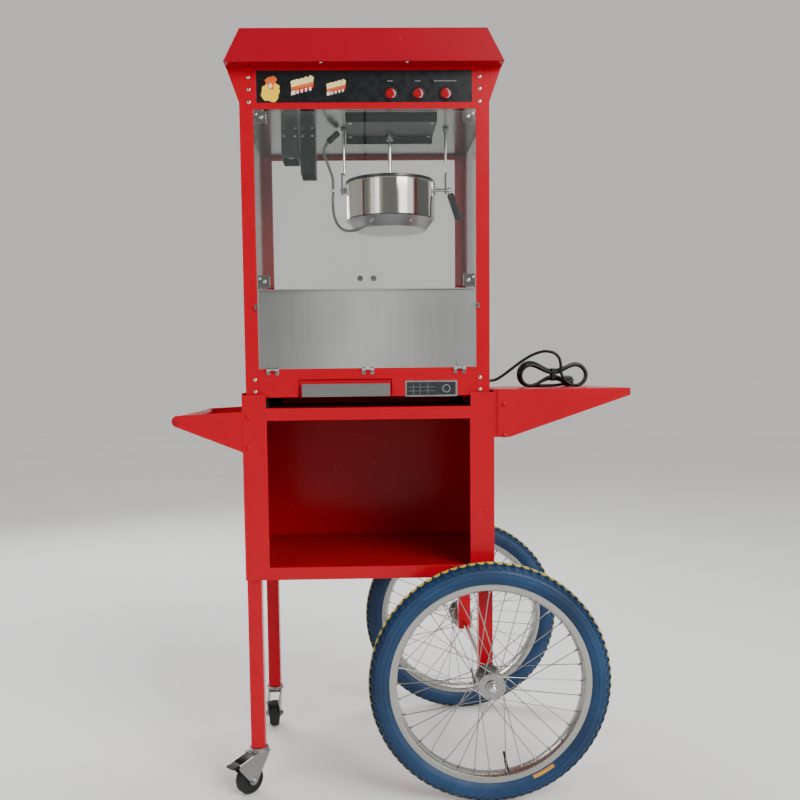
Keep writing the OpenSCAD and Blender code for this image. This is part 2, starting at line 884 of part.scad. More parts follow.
module side_tray() {
    root_z = 757;
    skirt_x = cx + 6.5;
    flat_x = 295;
    tip_h = 15;
    seam = 2.5;
    color(red) {
        block(cx, cx + sheet, -cy, cy, root_z, tray_z);
        block(cx + sheet, reach_right, -cy + sheet, cy - sheet, tray_z - sheet, tray_z);
        block(reach_right - sheet, reach_right, -cy + sheet, cy - sheet, tray_z - tip_h,
            tray_z - sheet);
        front_and_rear() {
            plate_xz(-cy, -cy + sheet)
                polygon([[skirt_x, root_z], [flat_x, root_z], [reach_right, tray_z - tip_h],
                    [reach_right, tray_z], [skirt_x, tray_z]]);
            block(cx + sheet, skirt_x + sheet, -cy + sheet, -cy + sheet + seam, root_z,
                tray_z - sheet);
        }
    }
}

// ---------- big wheels ----------

module axle() {
    end_y = wheel_y + 43;
    collar_y0 = leg_y + leg_s / 2;
    collar_y1 = wheel_y - hub_half - 0.3;
    nut_y0 = wheel_y + hub_half + 0.3;
    color(steel) {
        bar_y(axle_x, -end_y + 1, end_y - 1, axle_z, axle_r);
        front_and_rear() {
            bar_y(axle_x, -collar_y1, -collar_y0, axle_z, 10);
            bar_y(axle_x, -end_y, -nut_y0, axle_z, nut_r, 6);
        }
    }
}

// Places a wheel drawn round Z at the front or rear wheel's position
module wheel_at(side) {
    translate([axle_x, side * wheel_y, axle_z]) rotate([90, 0, 0]) children();
}

module tyre() {
    section_r = axle_z - tyre_r;
    bead_r0 = 204;
    cavity_r = 19;
    rotate_extrude($fn = 96) {
        difference() {
            translate([section_r, 0]) circle(r = tyre_r);
            translate([section_r + 2, 0]) circle(r = cavity_r);
            translate([section_r - 2 * tyre_r, -tyre_r])
                square([rim_edge_r + 0.5 - section_r + 2 * tyre_r, 2 * tyre_r]);
        }
        for (side = [-1, 1]) translate([bead_r0, side > 0 ? 8 : -13.7])
            square([rim_edge_r + 1.5 - bead_r0, 5.7]);
    }
}

module rim() {
    inner_r = 193;
    well_r = 203.5;
    half_w = 16.5;
    lip = 2.5;
    rotate_extrude($fn = 96)
        polygon([[inner_r, -9], [inner_r + 4, -half_w], [rim_edge_r, -half_w],
            [rim_edge_r, -half_w + lip], [well_r, -half_w + lip], [well_r, half_w - lip],
            [rim_edge_r, half_w - lip], [rim_edge_r, half_w], [inner_r + 4, half_w],
            [inner_r, 9]]);
}

// Hub with its flanges and crossed spokes
module hub() {
    barrel_r = 14;
    flange_r = 28;
    flange_t = 3;
    flange_z = 28;
    lace_r = 24;
    rim_r = 194;
    spoke_r = 1;
    cross_angle = 64;
    weave = 1.9;
    difference() {
        union() {
            translate([0, 0, -hub_half]) cylinder(h = 2 * hub_half, r = barrel_r);
            for (z = [-flange_z - flange_t, flange_z]) translate([0, 0, z])
                cylinder(h = flange_t, r = flange_r);
        }
        translate([0, 0, -hub_half - 1]) cylinder(h = 2 * hub_half + 2, r = axle_r + fit);
    }
    for (i = [0 : spoke_count - 1]) {
        side = i % 2 == 0 ? 1 : -1;
        lean = i % 4 < 2 ? cross_angle : -cross_angle;
        at_rim = 360 * i / spoke_count;
        z = side * (flange_z + flange_t / 2) + sign(lean) * weave;
        rod([lace_r * cos(at_rim + lean), lace_r * sin(at_rim + lean), z],
            [rim_r * cos(at_rim), rim_r * sin(at_rim), side * 3], spoke_r, $fn = 16);
    }
}

module front_tyre() color(blue) wheel_at(-1) tyre();
module rear_tyre() color(blue) wheel_at(1) tyre();
module front_rim() color(steel) wheel_at(-1) rim();
module rear_rim() color(steel) wheel_at(1) rim();
module front_hub() color(steel) wheel_at(-1) hub();
module rear_hub() color(steel) wheel_at(1) hub();

// ---------- casters ----------

// Places a caster drawn round Z, trailing towards +X
module caster_at(side, angle) {
    translate([left_leg_x, side * leg_y, 0]) rotate([0, 0, angle]) children();
}

// Stem, swivel head and fork, with the wheel's pin and the brake's pin
module caster_fork() {
    crown_x0 = -18;
    crown_x1 = 26;
    crown_top = crown_z + 3;
    head_r = 20;
    stem_len = 8;
    color(steel) {
        translate([0, 0, crown_top]) cylinder(h = caster_h + stem_len - crown_top, r = stem_r);
        translate([0, 0, crown_top]) cylinder(h = caster_h - crown_top - 0.3, r = head_r);
        block(crown_x0, crown_x1, -cheek_y - cheek_t, cheek_y + cheek_t, crown_z, crown_top);
        for (y = [-cheek_y - cheek_t, cheek_y]) plate_xz(y, y + cheek_t) {
            polygon([[crown_x0, crown_z], [crown_x1, crown_z], [brake_x + 6, brake_z + 4],
                [brake_x + 6, brake_z - 6], [caster_trail + 10, caster_r],
                [caster_trail - 9, caster_r - 5]]);
            translate([caster_trail, caster_r]) circle(r = 10);
        }
        bar_y(caster_trail, -cheek_y, cheek_y, caster_r, caster_pin_r);
        bar_y(brake_x, -cheek_y, cheek_y, brake_z, brake_pin_r);
    }
}

module caster_wheel() {
    bore = caster_pin_r + fit;
    color(black) translate([caster_trail, 0, caster_r]) rotate([90, 0, 0]) rotate_extrude($fn = 64)
        polygon([[bore, -caster_half_w], [12, -caster_half_w], [14, -9], [24, -9],
            [25, -caster_half_w + 1], [caster_r - 3, -caster_half_w + 1], [caster_r, -6],
            [caster_r, 6], [caster_r - 3, caster_half_w - 1], [25, caster_half_w - 1], [24, 9],
            [14, 9], [12, caster_half_w], [bore, caster_half_w]]);
}

// Pedal that turns on its pin at the back of the fork
module caster_brake() {
    half_w = 11;
    eye_r = 4.5;
    tip_x = brake_x + 22;
    color(dark_grey) difference() {
        plate_xz(-half_w, half_w) {
            translate([brake_x, brake_z]) circle(r = eye_r);
            polygon([[brake_x, brake_z + eye_r], [brake_x, brake_z - 2], [tip_x, brake_z - 1],
                [tip_x, brake_z + 3]]);
        }
        bar_y(brake_x, -20, 20, brake_z, brake_pin_r + fit);
    }
}

module front_caster_fork() caster_at(-1, front_trail_angle) caster_fork();
module front_caster_wheel() caster_at(-1, front_trail_angle) caster_wheel();
module front_caster_brake() caster_at(-1, front_trail_angle) caster_brake();
module rear_caster_fork() caster_at(1, rear_trail_angle) caster_fork();
module rear_caster_wheel() caster_at(1, rear_trail_angle) caster_wheel();
module rear_caster_brake() caster_at(1, rear_trail_angle) caster_brake();

// ---------- fasteners ----------

module dome_screw(x, z, y) {
    translate([x, y, z]) rotate([90, 0, 0]) cylinder(h = 1.6, r1 = 3.6, r2 = 2.4);
}

module screws() {
    post_screw_x = 234;
    header_rows = [1442, 1467, 1491];
    base_rows = [857, 882];
    handle_x = -398;
    color(steel) {
        both_sides() {
            for (z = header_rows) dome_screw(post_screw_x, z, my0);
            for (z = base_rows) dome_screw(post_screw_x, z, my0);
        }
        translate([handle_x, -cy, 798]) rotate([90, 0, 0]) cylinder(h = 4, r = 6);
        translate([handle_x, cy, 798]) rotate([-90, 0, 0]) cylinder(h = 4, r = 6);
    }
}

// ---------- nodes ----------

in_frame() roof();
in_frame() header_housing();
in_frame() ceiling_plate();
in_frame() control_panel();
in_frame() rocker_stir();
in_frame() rocker_heat();
in_frame() rocker_lamp();
in_frame() corner_posts();
in_frame() base_housing();
in_frame() sifting_floor();
in_frame() crumb_drawer();
in_frame() drawer_pull();
in_frame() steel_door();
in_frame() door_fittings();
in_frame() fixed_glass();
in_frame() glass_door_left();
in_frame() glass_door_right();
in_frame() door_hardware_left();
in_frame() door_hardware_right();
in_frame() stir_motor();
in_frame() motor_coupler();
in_frame() kettle_hanger();
in_frame() kettle_pot();
in_frame() kettle_base();
in_frame() kettle_lid_bar();
in_frame() lid_front();
in_frame() lid_rear();
in_frame() stirrer();
in_frame() dump_lever();
in_frame() dump_grip();
in_frame() kettle_lead_upper();
in_frame() kettle_lead_lower();
in_frame() lamp_housing();
in_frame() lamp_bulb();
in_frame() exhaust_duct();
in_frame() machine_feet();
in_frame() cord_gland();
in_frame() power_cord();
in_frame() cord_hank();
in_frame() plug();
in_frame() cart_panels();
in_frame() cart_shelves();
in_frame() cart_front_frame();
in_frame() cart_legs();
in_frame() push_handle();
in_frame() side_tray();
in_frame() axle();
in_frame() front_tyre();
in_frame() front_rim();
in_frame() front_hub();
in_frame() rear_tyre();
in_frame() rear_rim();
in_frame() rear_hub();
in_frame() front_caster_fork();
in_frame() front_caster_wheel();
in_frame() front_caster_brake();
in_frame() rear_caster_fork();
in_frame() rear_caster_wheel();
in_frame() rear_caster_brake();
in_frame() screws();
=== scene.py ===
import random
from math import cos, degrees, dist, pi, radians, sin, sqrt

import bmesh
import bpy
from mathutils import Matrix, Vector


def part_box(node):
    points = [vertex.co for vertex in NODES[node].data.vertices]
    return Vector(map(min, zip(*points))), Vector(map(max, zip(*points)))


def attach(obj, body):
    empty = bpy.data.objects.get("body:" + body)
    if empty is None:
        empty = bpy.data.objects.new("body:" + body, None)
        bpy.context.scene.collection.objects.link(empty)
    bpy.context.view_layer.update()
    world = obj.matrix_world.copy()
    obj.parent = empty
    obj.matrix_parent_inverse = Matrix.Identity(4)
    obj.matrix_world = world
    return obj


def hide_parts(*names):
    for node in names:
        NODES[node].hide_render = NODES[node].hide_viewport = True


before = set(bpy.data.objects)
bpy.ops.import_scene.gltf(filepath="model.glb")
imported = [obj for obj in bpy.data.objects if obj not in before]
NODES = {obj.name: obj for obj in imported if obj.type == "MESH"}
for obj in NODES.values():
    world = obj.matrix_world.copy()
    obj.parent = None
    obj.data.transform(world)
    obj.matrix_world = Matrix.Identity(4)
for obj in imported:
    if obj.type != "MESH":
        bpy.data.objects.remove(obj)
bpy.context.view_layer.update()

# Shapes below are written in millimetres, with X measured from the machine's centre plane.
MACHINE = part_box("corner_posts")
MID_X = (MACHINE[0].x + MACHINE[1].x) / 2
MM = 0.001


def pt(x, y, z):
    return Vector((x * MM + MID_X, y * MM, z * MM))


def box_mm(node):
    lo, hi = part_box(node)
    return [((v.x - MID_X) / MM, v.y / MM, v.z / MM) for v in (lo, hi)]


link = bpy.context.scene.collection.objects.link


# ---------- camera ----------

# Fitted to the photo's edges: turns in radians, place in metres, focal length in pixels.
YAW, PITCH, ROLL = -0.024, -0.0834, -0.0117
CAMERA_AT = (MID_X - 0.0222, -2.0616, 0.8903)
FOCAL_PIXELS, FRAME_PIXELS, SENSOR_MM = 891.53, 800, 36
SHIFT_X, SHIFT_Y = 0.0254, 0.0613


def make_camera():
    forward = Vector((-cos(PITCH) * sin(YAW), cos(PITCH) * cos(YAW),
                      sin(PITCH)))
    level = Vector((cos(YAW), sin(YAW), 0))
    rise = Vector((sin(PITCH) * sin(YAW), -sin(PITCH) * cos(YAW),
                   cos(PITCH)))
    right = cos(ROLL) * level + sin(ROLL) * rise
    up = cos(ROLL) * rise - sin(ROLL) * level
    data = bpy.data.cameras.new("Camera")
    data.sensor_width = SENSOR_MM
    data.lens = FOCAL_PIXELS / FRAME_PIXELS * SENSOR_MM
    data.shift_x, data.shift_y = SHIFT_X, SHIFT_Y
    camera = bpy.data.objects.new("Camera", data)
    turn = Matrix((right, up, -forward)).transposed().to_4x4()
    camera.matrix_world = Matrix.Translation(CAMERA_AT) @ turn
    link(camera)
    bpy.context.scene.camera = camera


make_camera()


# ---------- materials ----------

def srgb(r, g, b, a=1.0):
    def linear(c):
        c /= 255
        return c / 12.92 if c <= 0.04045 else ((c + 0.055) / 1.055) ** 2.4
    return (linear(r), linear(g), linear(b), a)


def shade(colour, k):
    return tuple(min(1, c * k) for c in colour[:3]) + (1.0,)


def set_stops(color_ramp, stops):
    """Fills a colour ramp from (place, colour or grey level) pairs."""
    while len(color_ramp.elements) < len(stops):
        color_ramp.elements.new(0.5)
    for element, (place, colour) in zip(color_ramp.elements, stops):
        element.position = place
        element.color = colour if hasattr(colour, "__len__") else (colour,) * 3 + (1,)


def add_node(tree, kind, feeds, **settings):
    """A node whose inputs are joined to sockets or set to values."""
    made = tree.nodes.new(kind)
    for key, value in settings.items():
        setattr(made, key, value)
    for key, value in feeds.items():
        if isinstance(value, bpy.types.NodeSocket):
            tree.links.new(value, made.inputs[key])
        else:
            made.inputs[key].default_value = value
    return made


class Finish:
    """A node material: procedural colour, roughness and bump on one Principled shader."""

    def __init__(self, name, metallic=0.0, coat=0.0, specular=0.5):
        self.mat = bpy.data.materials.new(name)
        self.mat.use_nodes = True
        self.tree = self.mat.node_tree
        self.shader = self.tree.nodes["Principled BSDF"].inputs
        self.shader["Metallic"].default_value = metallic
        self.shader["Specular IOR Level"].default_value = specular
        self.shader["Coat Weight"].default_value = coat
        self.shader["Coat Roughness"].default_value = 0.08
        self.where = self.node("ShaderNodeTexCoord", {}).outputs["Object"]

    def node(self, kind, feeds, **settings):
        return add_node(self.tree, kind, feeds, **settings)

    def join(self, source, socket):
        self.tree.links.new(source, self.shader[socket])

    def combine(self, operation, *values):
        """A Math node on sockets and plain numbers."""
        return self.node("ShaderNodeMath", dict(enumerate(values)), operation=operation).outputs[0]

    def stretched(self, scale):
        """The object's coordinates scaled by three factors."""
        feeds = {"Scale": scale, "Vector": self.where}
        return self.node("ShaderNodeMapping", feeds).outputs["Vector"]

    def noise(self, scale, detail=3.0, rough=0.5, where=None):
        feeds = {"Scale": scale, "Detail": detail, "Roughness": rough,
                 "Vector": where or self.where}
        return self.node("ShaderNodeTexNoise", feeds).outputs["Fac"]

    def ramp(self, factor, stops):
        made = self.node("ShaderNodeValToRGB", {"Fac": factor})
        set_stops(made.color_ramp, stops)
        return made.outputs["Color"]

    def scale_to(self, factor, lo, hi):
        """Noise stays mostly between 0.3 and 0.7, which this spreads from lo to hi."""
        feeds = {"Value": factor, "From Min": 0.3, "From Max": 0.7, "To Min": lo, "To Max": hi}
        return self.node("ShaderNodeMapRange", feeds).outputs["Result"]

    def colour(self, factor, tone, *shades):
        """Base colour from (place, factor on the tone) pairs along a noise."""
        stops = [(place, shade(tone, k)) for place, k in shades]
        self.join(self.ramp(factor, stops), "Base Color")

    def rough(self, factor, span):
        self.join(self.scale_to(factor, *span), "Roughness")

    def bump(self, *layers):
        """Layers of (height, strength, depth in millimetres), one on the other."""
        below = {}
        for height, strength, depth in layers:
            feeds = {"Height": height, "Strength": strength, "Distance": depth * MM, **below}
            below = {"Normal": self.node("ShaderNodeBump", feeds).outputs["Normal"]}
        self.join(below["Normal"], "Normal")


def paint(name, tone, rough=(0.21, 0.28)):
    """Glossy powder coat: fine orange peel, cloudy tone and a little handling haze."""
    f = Finish(name, specular=0.2)
    f.colour(f.noise(5, 4, 0.55), tone, (0.25, 0.95), (0.55, 1), (0.8, 1.04))
    f.rough(f.noise(22, 6, 0.6), rough)
    f.bump((f.noise(650, 2), 0.16, 0.08), (f.noise(16, 2), 0.05, 0.3))
    return f.mat


def brushed(name, tone, rough, grain, depth=0.05, painted_reflection=0.0):
    """Metal brushed along one axis: grain gives the three scale factors of the streaks, and
    the last argument the strength of a painted reflection: broad bright and dark bands in the
    colour."""
    f = Finish(name, metallic=1.0)
    streaks = f.noise(1, 5, 0.65, f.stretched(grain))
    broad = f.noise(6, 3)
    metal = f.ramp(streaks, [(0.2, shade(tone, 0.9)), (0.5, tone), (0.85, shade(tone, 1.06))])
    # Painted reflection: broad sine bands along the object's coordinates lighten and darken the
    # colour.
    if painted_reflection:
        waves = f.node("ShaderNodeTexWave", {"Scale": 0.75, "Phase Offset": 4.5,
                                             "Distortion": 0.5, "Vector": f.where},
                       wave_profile="SIN")
        painted_bands = f.ramp(waves.outputs["Fac"], [(0.0, 1 - painted_reflection), (0.55, 1.0), (1.0, 1 + painted_reflection)])
        mix = f.node("ShaderNodeMix", {}, data_type="RGBA", blend_type="MULTIPLY")
        mix.inputs["Factor"].default_value = 1.0
        f.tree.links.new(metal, mix.inputs["A"])
        f.tree.links.new(painted_bands, mix.inputs["B"])
        metal = mix.outputs["Result"]
    f.join(metal, "Base Color")
    f.rough(f.combine("MULTIPLY_ADD", streaks, 0.55, f.combine("MULTIPLY", broad, 0.45)), rough)
    f.bump((streaks, 0.14, depth), (broad, 0.1, 0.5))
    return f.mat


def polished(name, tone, rough=(0.05, 0.16)):
    f = Finish(name, metallic=1.0)
    smudge = f.noise(38, 5, 0.6)
    f.colour(smudge, tone, (0.2, 0.9), (0.6, 1))
    f.rough(smudge, rough)
    f.bump((f.noise(420, 2), 0.08, 0.03))
    return f.mat


def plastic(name, tone, rough=(0.35, 0.5), grain=900, depth=0.05, coat=0.0):
    f = Finish(name, coat=coat, specular=0.3)
    f.colour(f.noise(30, 4, 0.6), tone, (0.25, 0.86), (0.55, 1), (0.8, 1.16))
    f.rough(f.noise(70, 5), rough)
    f.bump((f.noise(grain, 2), 0.35, depth))
    return f.mat


def glass(name, tone, alpha, rough=0.03):
    """A clear pane: see-through film, denser where it is seen aslant, with haze and wipe marks."""
    f = Finish(name)
    haze = f.noise(3, 4, 0.6, f.stretched((1, 1, 0.35)))
    f.colour(haze, tone, (0.3, 0.94), (0.7, 1))
    edge = f.node("ShaderNodeFresnel", {"IOR": 1.45}).outputs[0]
    film = f.scale_to(haze, alpha * 0.5, alpha * 1.4)
    f.join(f.combine("MULTIPLY_ADD", edge, 0.6, film), "Alpha")
    f.rough(f.noise(14, 4), (rough, rough * 2.4))
    f.mat.surface_render_method = "BLENDED"
    return f.mat


def rings(name, tone, rough, pitch):
    """Turned or spun metal: fine grooves that follow each other up the object."""
    f = Finish(name, metallic=1.0)
    height = f.node("ShaderNodeSeparateXYZ", {0: f.where}).outputs["Z"]
    line = f.node("ShaderNodeCombineXYZ", {"Z": height}).outputs[0]
    grooves = f.noise(pitch, 3, 0.7, line)
    f.colour(grooves, tone, (0.2, 0.88), (0.6, 1))
    f.rough(f.noise(9, 4, 0.6), rough)
    f.bump((grooves, 0.12, 0.02))
    return f.mat


def tyre_rubber(name, tone):
    """Sidewall rubber: moulding haze, scuffs and a fine grain."""
    f = Finish(name, specular=0.3)
    f.colour(f.noise(9, 5, 0.6), tone, (0.28, 0.7), (0.5, 1), (0.74, 1.35))
    f.rough(f.noise(40, 5), (0.42, 0.62))
    f.bump((f.noise(700, 2), 0.35, 0.12), (f.noise(60, 3), 0.2, 0.4))
    return f.mat


M = {}
M["red"] = paint("red_powder_coat", (0.42, 0.0008, 0.011, 1))
# A darker copy of the red powder coat for the roof and its hem: painted shade.
M["red_roof_painted_shade"] = paint("red_coat_painted_roof_shade", (0.32, 0.0015, 0.012, 1))
# A darker, rougher copy of the red powder coat for the cabinet's inside and the cart screws'
# crosses: painted shade.
M["red_painted_shade"] = paint("red_coat_painted_shade", (0.34, 0.001, 0.003, 1), (0.3, 0.45))
# Both brushed steels below carry painted reflection bands in their colour.
M["steel_v"] = brushed("brushed_steel_upright", srgb(178, 179, 177), (0.32, 0.42), (700, 700, 7),
                       depth=0.012, painted_reflection=0.3)
M["steel_x"] = brushed("brushed_steel_level", srgb(186, 187, 185), (0.24, 0.38), (9, 900, 900),
                       painted_reflection=0.2)
M["ceiling"] = brushed("ceiling_steel", srgb(128, 135, 133), (0.14, 0.24), (8, 700, 700))
M["spun"] = rings("spun_kettle_steel", srgb(214, 210, 200), (0.05, 0.12), 900)
M["kettle_dark"] = rings("kettle_rim_steel", srgb(64, 62, 62), (0.2, 0.34), 700)
M["chrome"] = polished("bright_plated_steel", srgb(222, 222, 220))
M["spoke"] = polished("spoke_steel", srgb(158, 158, 156), (0.16, 0.3))
M["zinc"] = polished("zinc_plate", srgb(150, 152, 150), (0.26, 0.42))
M["rim"] = polished("rim_alloy", srgb(174, 174, 168), (0.2, 0.34))
M["base_sheet"] = brushed("kettle_base_sheet", srgb(170, 170, 172), (0.3, 0.42), (400, 400, 30))
M["pull"] = brushed("pull_steel", srgb(140, 141, 140), (0.3, 0.44), (9, 900, 900))
M["grey_box"] = brushed("grey_sheet", srgb(72, 76, 78), (0.34, 0.5), (500, 500, 12))
M["dark_sheet"] = brushed("dark_sheet", srgb(40, 42, 46), (0.4, 0.55), (12, 500, 500))
M["panel"] = plastic("panel_film", (0.007, 0.008, 0.010, 1), (0.22, 0.36), 1200, 0.02)
M["black"] = plastic("black_moulding", (0.009, 0.009, 0.010, 1), (0.35, 0.55))
M["pvc"] = plastic("lead_sheath", (0.008, 0.008, 0.009, 1), (0.32, 0.46), 1500, 0.02)
M["rubber"] = plastic("black_rubber", (0.014, 0.014, 0.015, 1), (0.6, 0.8), 500, 0.15)
M["grey_sleeve"] = plastic("grey_sleeve", (0.15, 0.15, 0.145, 1), (0.45, 0.6), 1600, 0.12)
M["switch"] = plastic("red_switch_cap", (0.30, 0.004, 0.010, 1), (0.12, 0.22), 300, 0.01, 0.4)
M["glass"] = glass("clear_pane", (0.42, 0.48, 0.46, 1), 0.03)
M["bulb"] = glass("bulb_glass", (0.95, 0.93, 0.86, 1), 0.3)
M["brass"] = polished("brass", srgb(196, 158, 84), (0.2, 0.35))
INKS = {"yellow": ("yellow_ink", 246, 204, 40), "cream": ("cream_ink", 232, 222, 150),
        "patch": ("amber_print", 206, 140, 52), "orange": ("orange_ink", 216, 96, 40),
        "ink_red": ("red_ink", 188, 44, 26), "white": ("white_ink", 226, 222, 214),
        "legend": ("grey_ink", 120, 124, 126)}
for key, (ink, *tone) in INKS.items():
    M[key] = plastic(ink, srgb(*tone), (0.3, 0.45), 800, 0.01)
M["plate"] = plastic("plate_film", (0.020, 0.024, 0.028, 1), (0.22, 0.34), 900, 0.01, 0.3)
M["tyre"] = tyre_rubber("blue_sidewall", (0.010, 0.037, 0.094, 1))
M["knob"] = tyre_rubber("navy_tread", (0.008, 0.027, 0.068, 1))
M["tread_line"] = tyre_rubber("yellow_tread", srgb(206, 186, 70))


# ---------- shapes ----------

UP, DOWN, FRONT, BACK = (0, 0, 1), (0, 0, -1), (0, -1, 0), (0, 1, 0)
# Faces of a box whose corners run along its first axis fastest and its third axis slowest.
BOX_FACES = [(0, 2, 3, 1), (4, 5, 7, 6), (0, 1, 5, 4), (1, 3, 7, 5), (3, 2, 6, 7), (2, 0, 4, 6)]


class Shape:
    """Closed shells collected in millimetres, then made into one piece."""

    def __init__(self):
        self.verts, self.faces, self.mats = [], [], []

    def add(self, verts, faces, mat=0):
        base = len(self.verts)
        self.verts += [tuple(v) for v in verts]
        self.faces += [tuple(base + i for i in f) for f in faces]
        self.mats += [mat] * len(faces)

    def block(self, lo, hi, mat=0):
        corners = [(x, y, z) for z in (lo[2], hi[2]) for y in (lo[1], hi[1])
                   for x in (lo[0], hi[0])]
        self.add(corners, BOX_FACES, mat)

    def plate(self, outline, y0, y1, mat=0):
        """An outline in X and Z, anticlockwise seen from the front, from y0 to y1."""
        n = len(outline)
        verts = [(x, y0, z) for x, z in outline] + [(x, y1, z) for x, z in outline]
        sides = [(i, n + i, n + (i + 1) % n, (i + 1) % n) for i in range(n)]
        self.add(verts, [tuple(range(n)), tuple(range(2 * n - 1, n - 1, -1))] + sides, mat)

    def lathe(self, profile, origin, axis, sides=32, mat=0, loop=False):
        """Turns (radius, height) points round an axis; loop for a closed section."""
        axis = Vector(axis).normalized()
        u = axis.orthogonal().normalized()
        if abs(axis.z) > 0.99:
            u = Vector((1, 0, 0))
        w = axis.cross(u)
        origin = Vector(origin)
        verts, rows = [], []
        for r, h in profile:
            if r < 1e-6:
                rows.append([len(verts)] * sides)
                verts.append(origin + axis * h)
                continue
            rows.append(list(range(len(verts), len(verts) + sides)))
            for k in range(sides):
                a = 2 * pi * k / sides
                verts.append(origin + axis * h + r * (cos(a) * u + sin(a) * w))
        faces = []
        last = len(rows) if loop else len(rows) - 1
        for i in range(last):
            a, b = rows[i], rows[(i + 1) % len(rows)]
            for k in range(sides):
                n = (k + 1) % sides
                ring = []
                for v in (a[k], a[n], b[n], b[k]):
                    if v not in ring:
                        ring.append(v)
                if len(ring) > 2:
                    faces.append(tuple(ring))
        self.add(verts, faces, mat)

    def tube(self, points, radius, sides=10, mat=0):
        """A round tube along points, with flat ends; radius may be one value a point."""
        points = [Vector(p) for p in points]
        radii = radius if hasattr(radius, "__len__") else [radius] * len(points)
        tangents = [(points[min(i + 1, len(points) - 1)] - points[max(i - 1, 0)]).normalized()
                    for i in range(len(points))]
        side = tangents[0].orthogonal().normalized()
        verts = []
        for p, t, r in zip(points, tangents, radii):
            side = (side - t * side.dot(t)).normalized()
            other = t.cross(side)
            verts += [p + r * (cos(a) * side + sin(a) * other)
                      for a in (2 * pi * k / sides for k in range(sides))]
        faces = [(i * sides + k, i * sides + (k + 1) % sides, (i + 1) * sides + (k + 1) % sides,
                  (i + 1) * sides + k) for i in range(len(points) - 1) for k in range(sides)]
        faces.append(tuple(range(sides - 1, -1, -1)))
        faces.append(tuple(range((len(points) - 1) * sides, len(points) * sides)))
        self.add(verts, faces, mat)

    def make(self, name, body, mats, slot=None, replaces=(), bevel=0.0, sharp=38):
        mesh = bpy.data.meshes.new(name)
        bm = bmesh.new()
        made = [bm.verts.new(pt(*v)) for v in self.verts]
        bm.verts.ensure_lookup_table()
        for face, mat in zip(self.faces, self.mats):
            f = bm.faces.new([made[i] for i in face])
            f.material_index = mat
        bmesh.ops.recalc_face_normals(bm, faces=bm.faces)
        for f in bm.faces:
            f.smooth = True
        for e in bm.edges:
            if len(e.link_faces) == 2 and e.calc_face_angle(0) > radians(sharp):
                e.smooth = False
        bm.to_mesh(mesh)
        bm.free()
        for m in mats:
            mesh.materials.append(M[m])
        obj = bpy.data.objects.new(name, mesh)
        link(obj)
        if bevel:
            soften(obj, bevel, weld=False)
        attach(obj, body)
        if replaces:
            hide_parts(*replaces)
        return obj


def soften(obj, width_mm, weld=True):
    """Rounds an object's sharp edges a little, so that they catch the light."""
    if weld:
        obj.modifiers.new("Weld", "WELD").merge_threshold = 1e-5
        flat = obj.modifiers.new("Flatten", "DECIMATE")
        flat.decimate_type = "DISSOLVE"
        flat.angle_limit = radians(0.6)
    bevel = obj.modifiers.new("Bevel", "BEVEL")
    bevel.width = width_mm * MM
    bevel.segments = 2
    bevel.limit_method = "ANGLE"
    bevel.angle_limit = radians(32)
    bevel.use_clamp_overlap = True
    bevel.harden_normals = True


def curve_through(points, steps):
    """A smooth line through points, with steps pieces between each two."""
    pts = [Vector(p) for p in points]
    out = []
    for i in range(len(pts) - 1):
        p0, p1, p2, p3 = (pts[max(i - 1, 0)], pts[i], pts[i + 1], pts[min(i + 2, len(pts) - 1)])
        for s in range(steps):
            t = s / steps
            out.append(0.5 * (2 * p1 + (p2 - p0) * t + (2 * p0 - 5 * p1 + 4 * p2 - p3) * t * t
                              + (3 * p1 - p0 - 3 * p2 + p3) * t ** 3))
    return out + [pts[-1]]


def length_of(points):
    return sum((b - a).length for a, b in zip(points, points[1:]))


# ---------- mains lead ----------

TRAY_TOP = box_mm("side_tray")[1][2]
CORD_R = 3.5
CORD_LENGTH = 1800
# From the gland over the tray: part.scad's route, but for its end, which here turns down
# into the hank's first strand instead of stopping on top of the hank's solid.
ARCH = [(284, 0, 873), (296, 0, 875), (308, -1, 881), (325, -2, 893), (342, -4, 906),
        (360, -7, 919), (380, -10, 931), (400, -14, 938), (413, -16, 939), (429, -18, 935),
        (441, -18, 923), (445, -18, 907)]
# Where the folds' middles are, the front strand's Y, and how far back each turn takes the lead.
HANK_LEFT, HANK_RIGHT = 378.5, 481.5
HANK_FRONT = -18
FIRST_LAY, LAY = 7.5, 7.05
RUN_LOW = TRAY_TOP + CORD_R
TIE_X, TIE_Z = (HANK_LEFT + HANK_RIGHT) / 2, RUN_LOW + 25
PLUG_X, PLUG_Y, PLUG_Z = 485, 44, TRAY_TOP + 13
# One row a turn: radius of the right and left fold, height of the upper and lower strand
# at the tie from its middle, and how far out the right and left fold are pushed.
LAPS = [(23.2, 23.6, 3.7, -3.7, 0, 0), (23.4, 27.2, 9.5, -4.2, 3, 2),
        (25.0, 23.6, 4.4, -9.0, 1, 4), (23.2, 25.8, 9.5, -9.0, 4, 1)]
LAP_STEPS = 60
# Shares of a turn at which the right fold, the upper run and the left fold end.
FOLD_1, RUN_1, FOLD_2 = 0.2, 0.5, 0.7
TAIL_RISE = 70


def ease(s):
    return s * s * (3 - 2 * s)


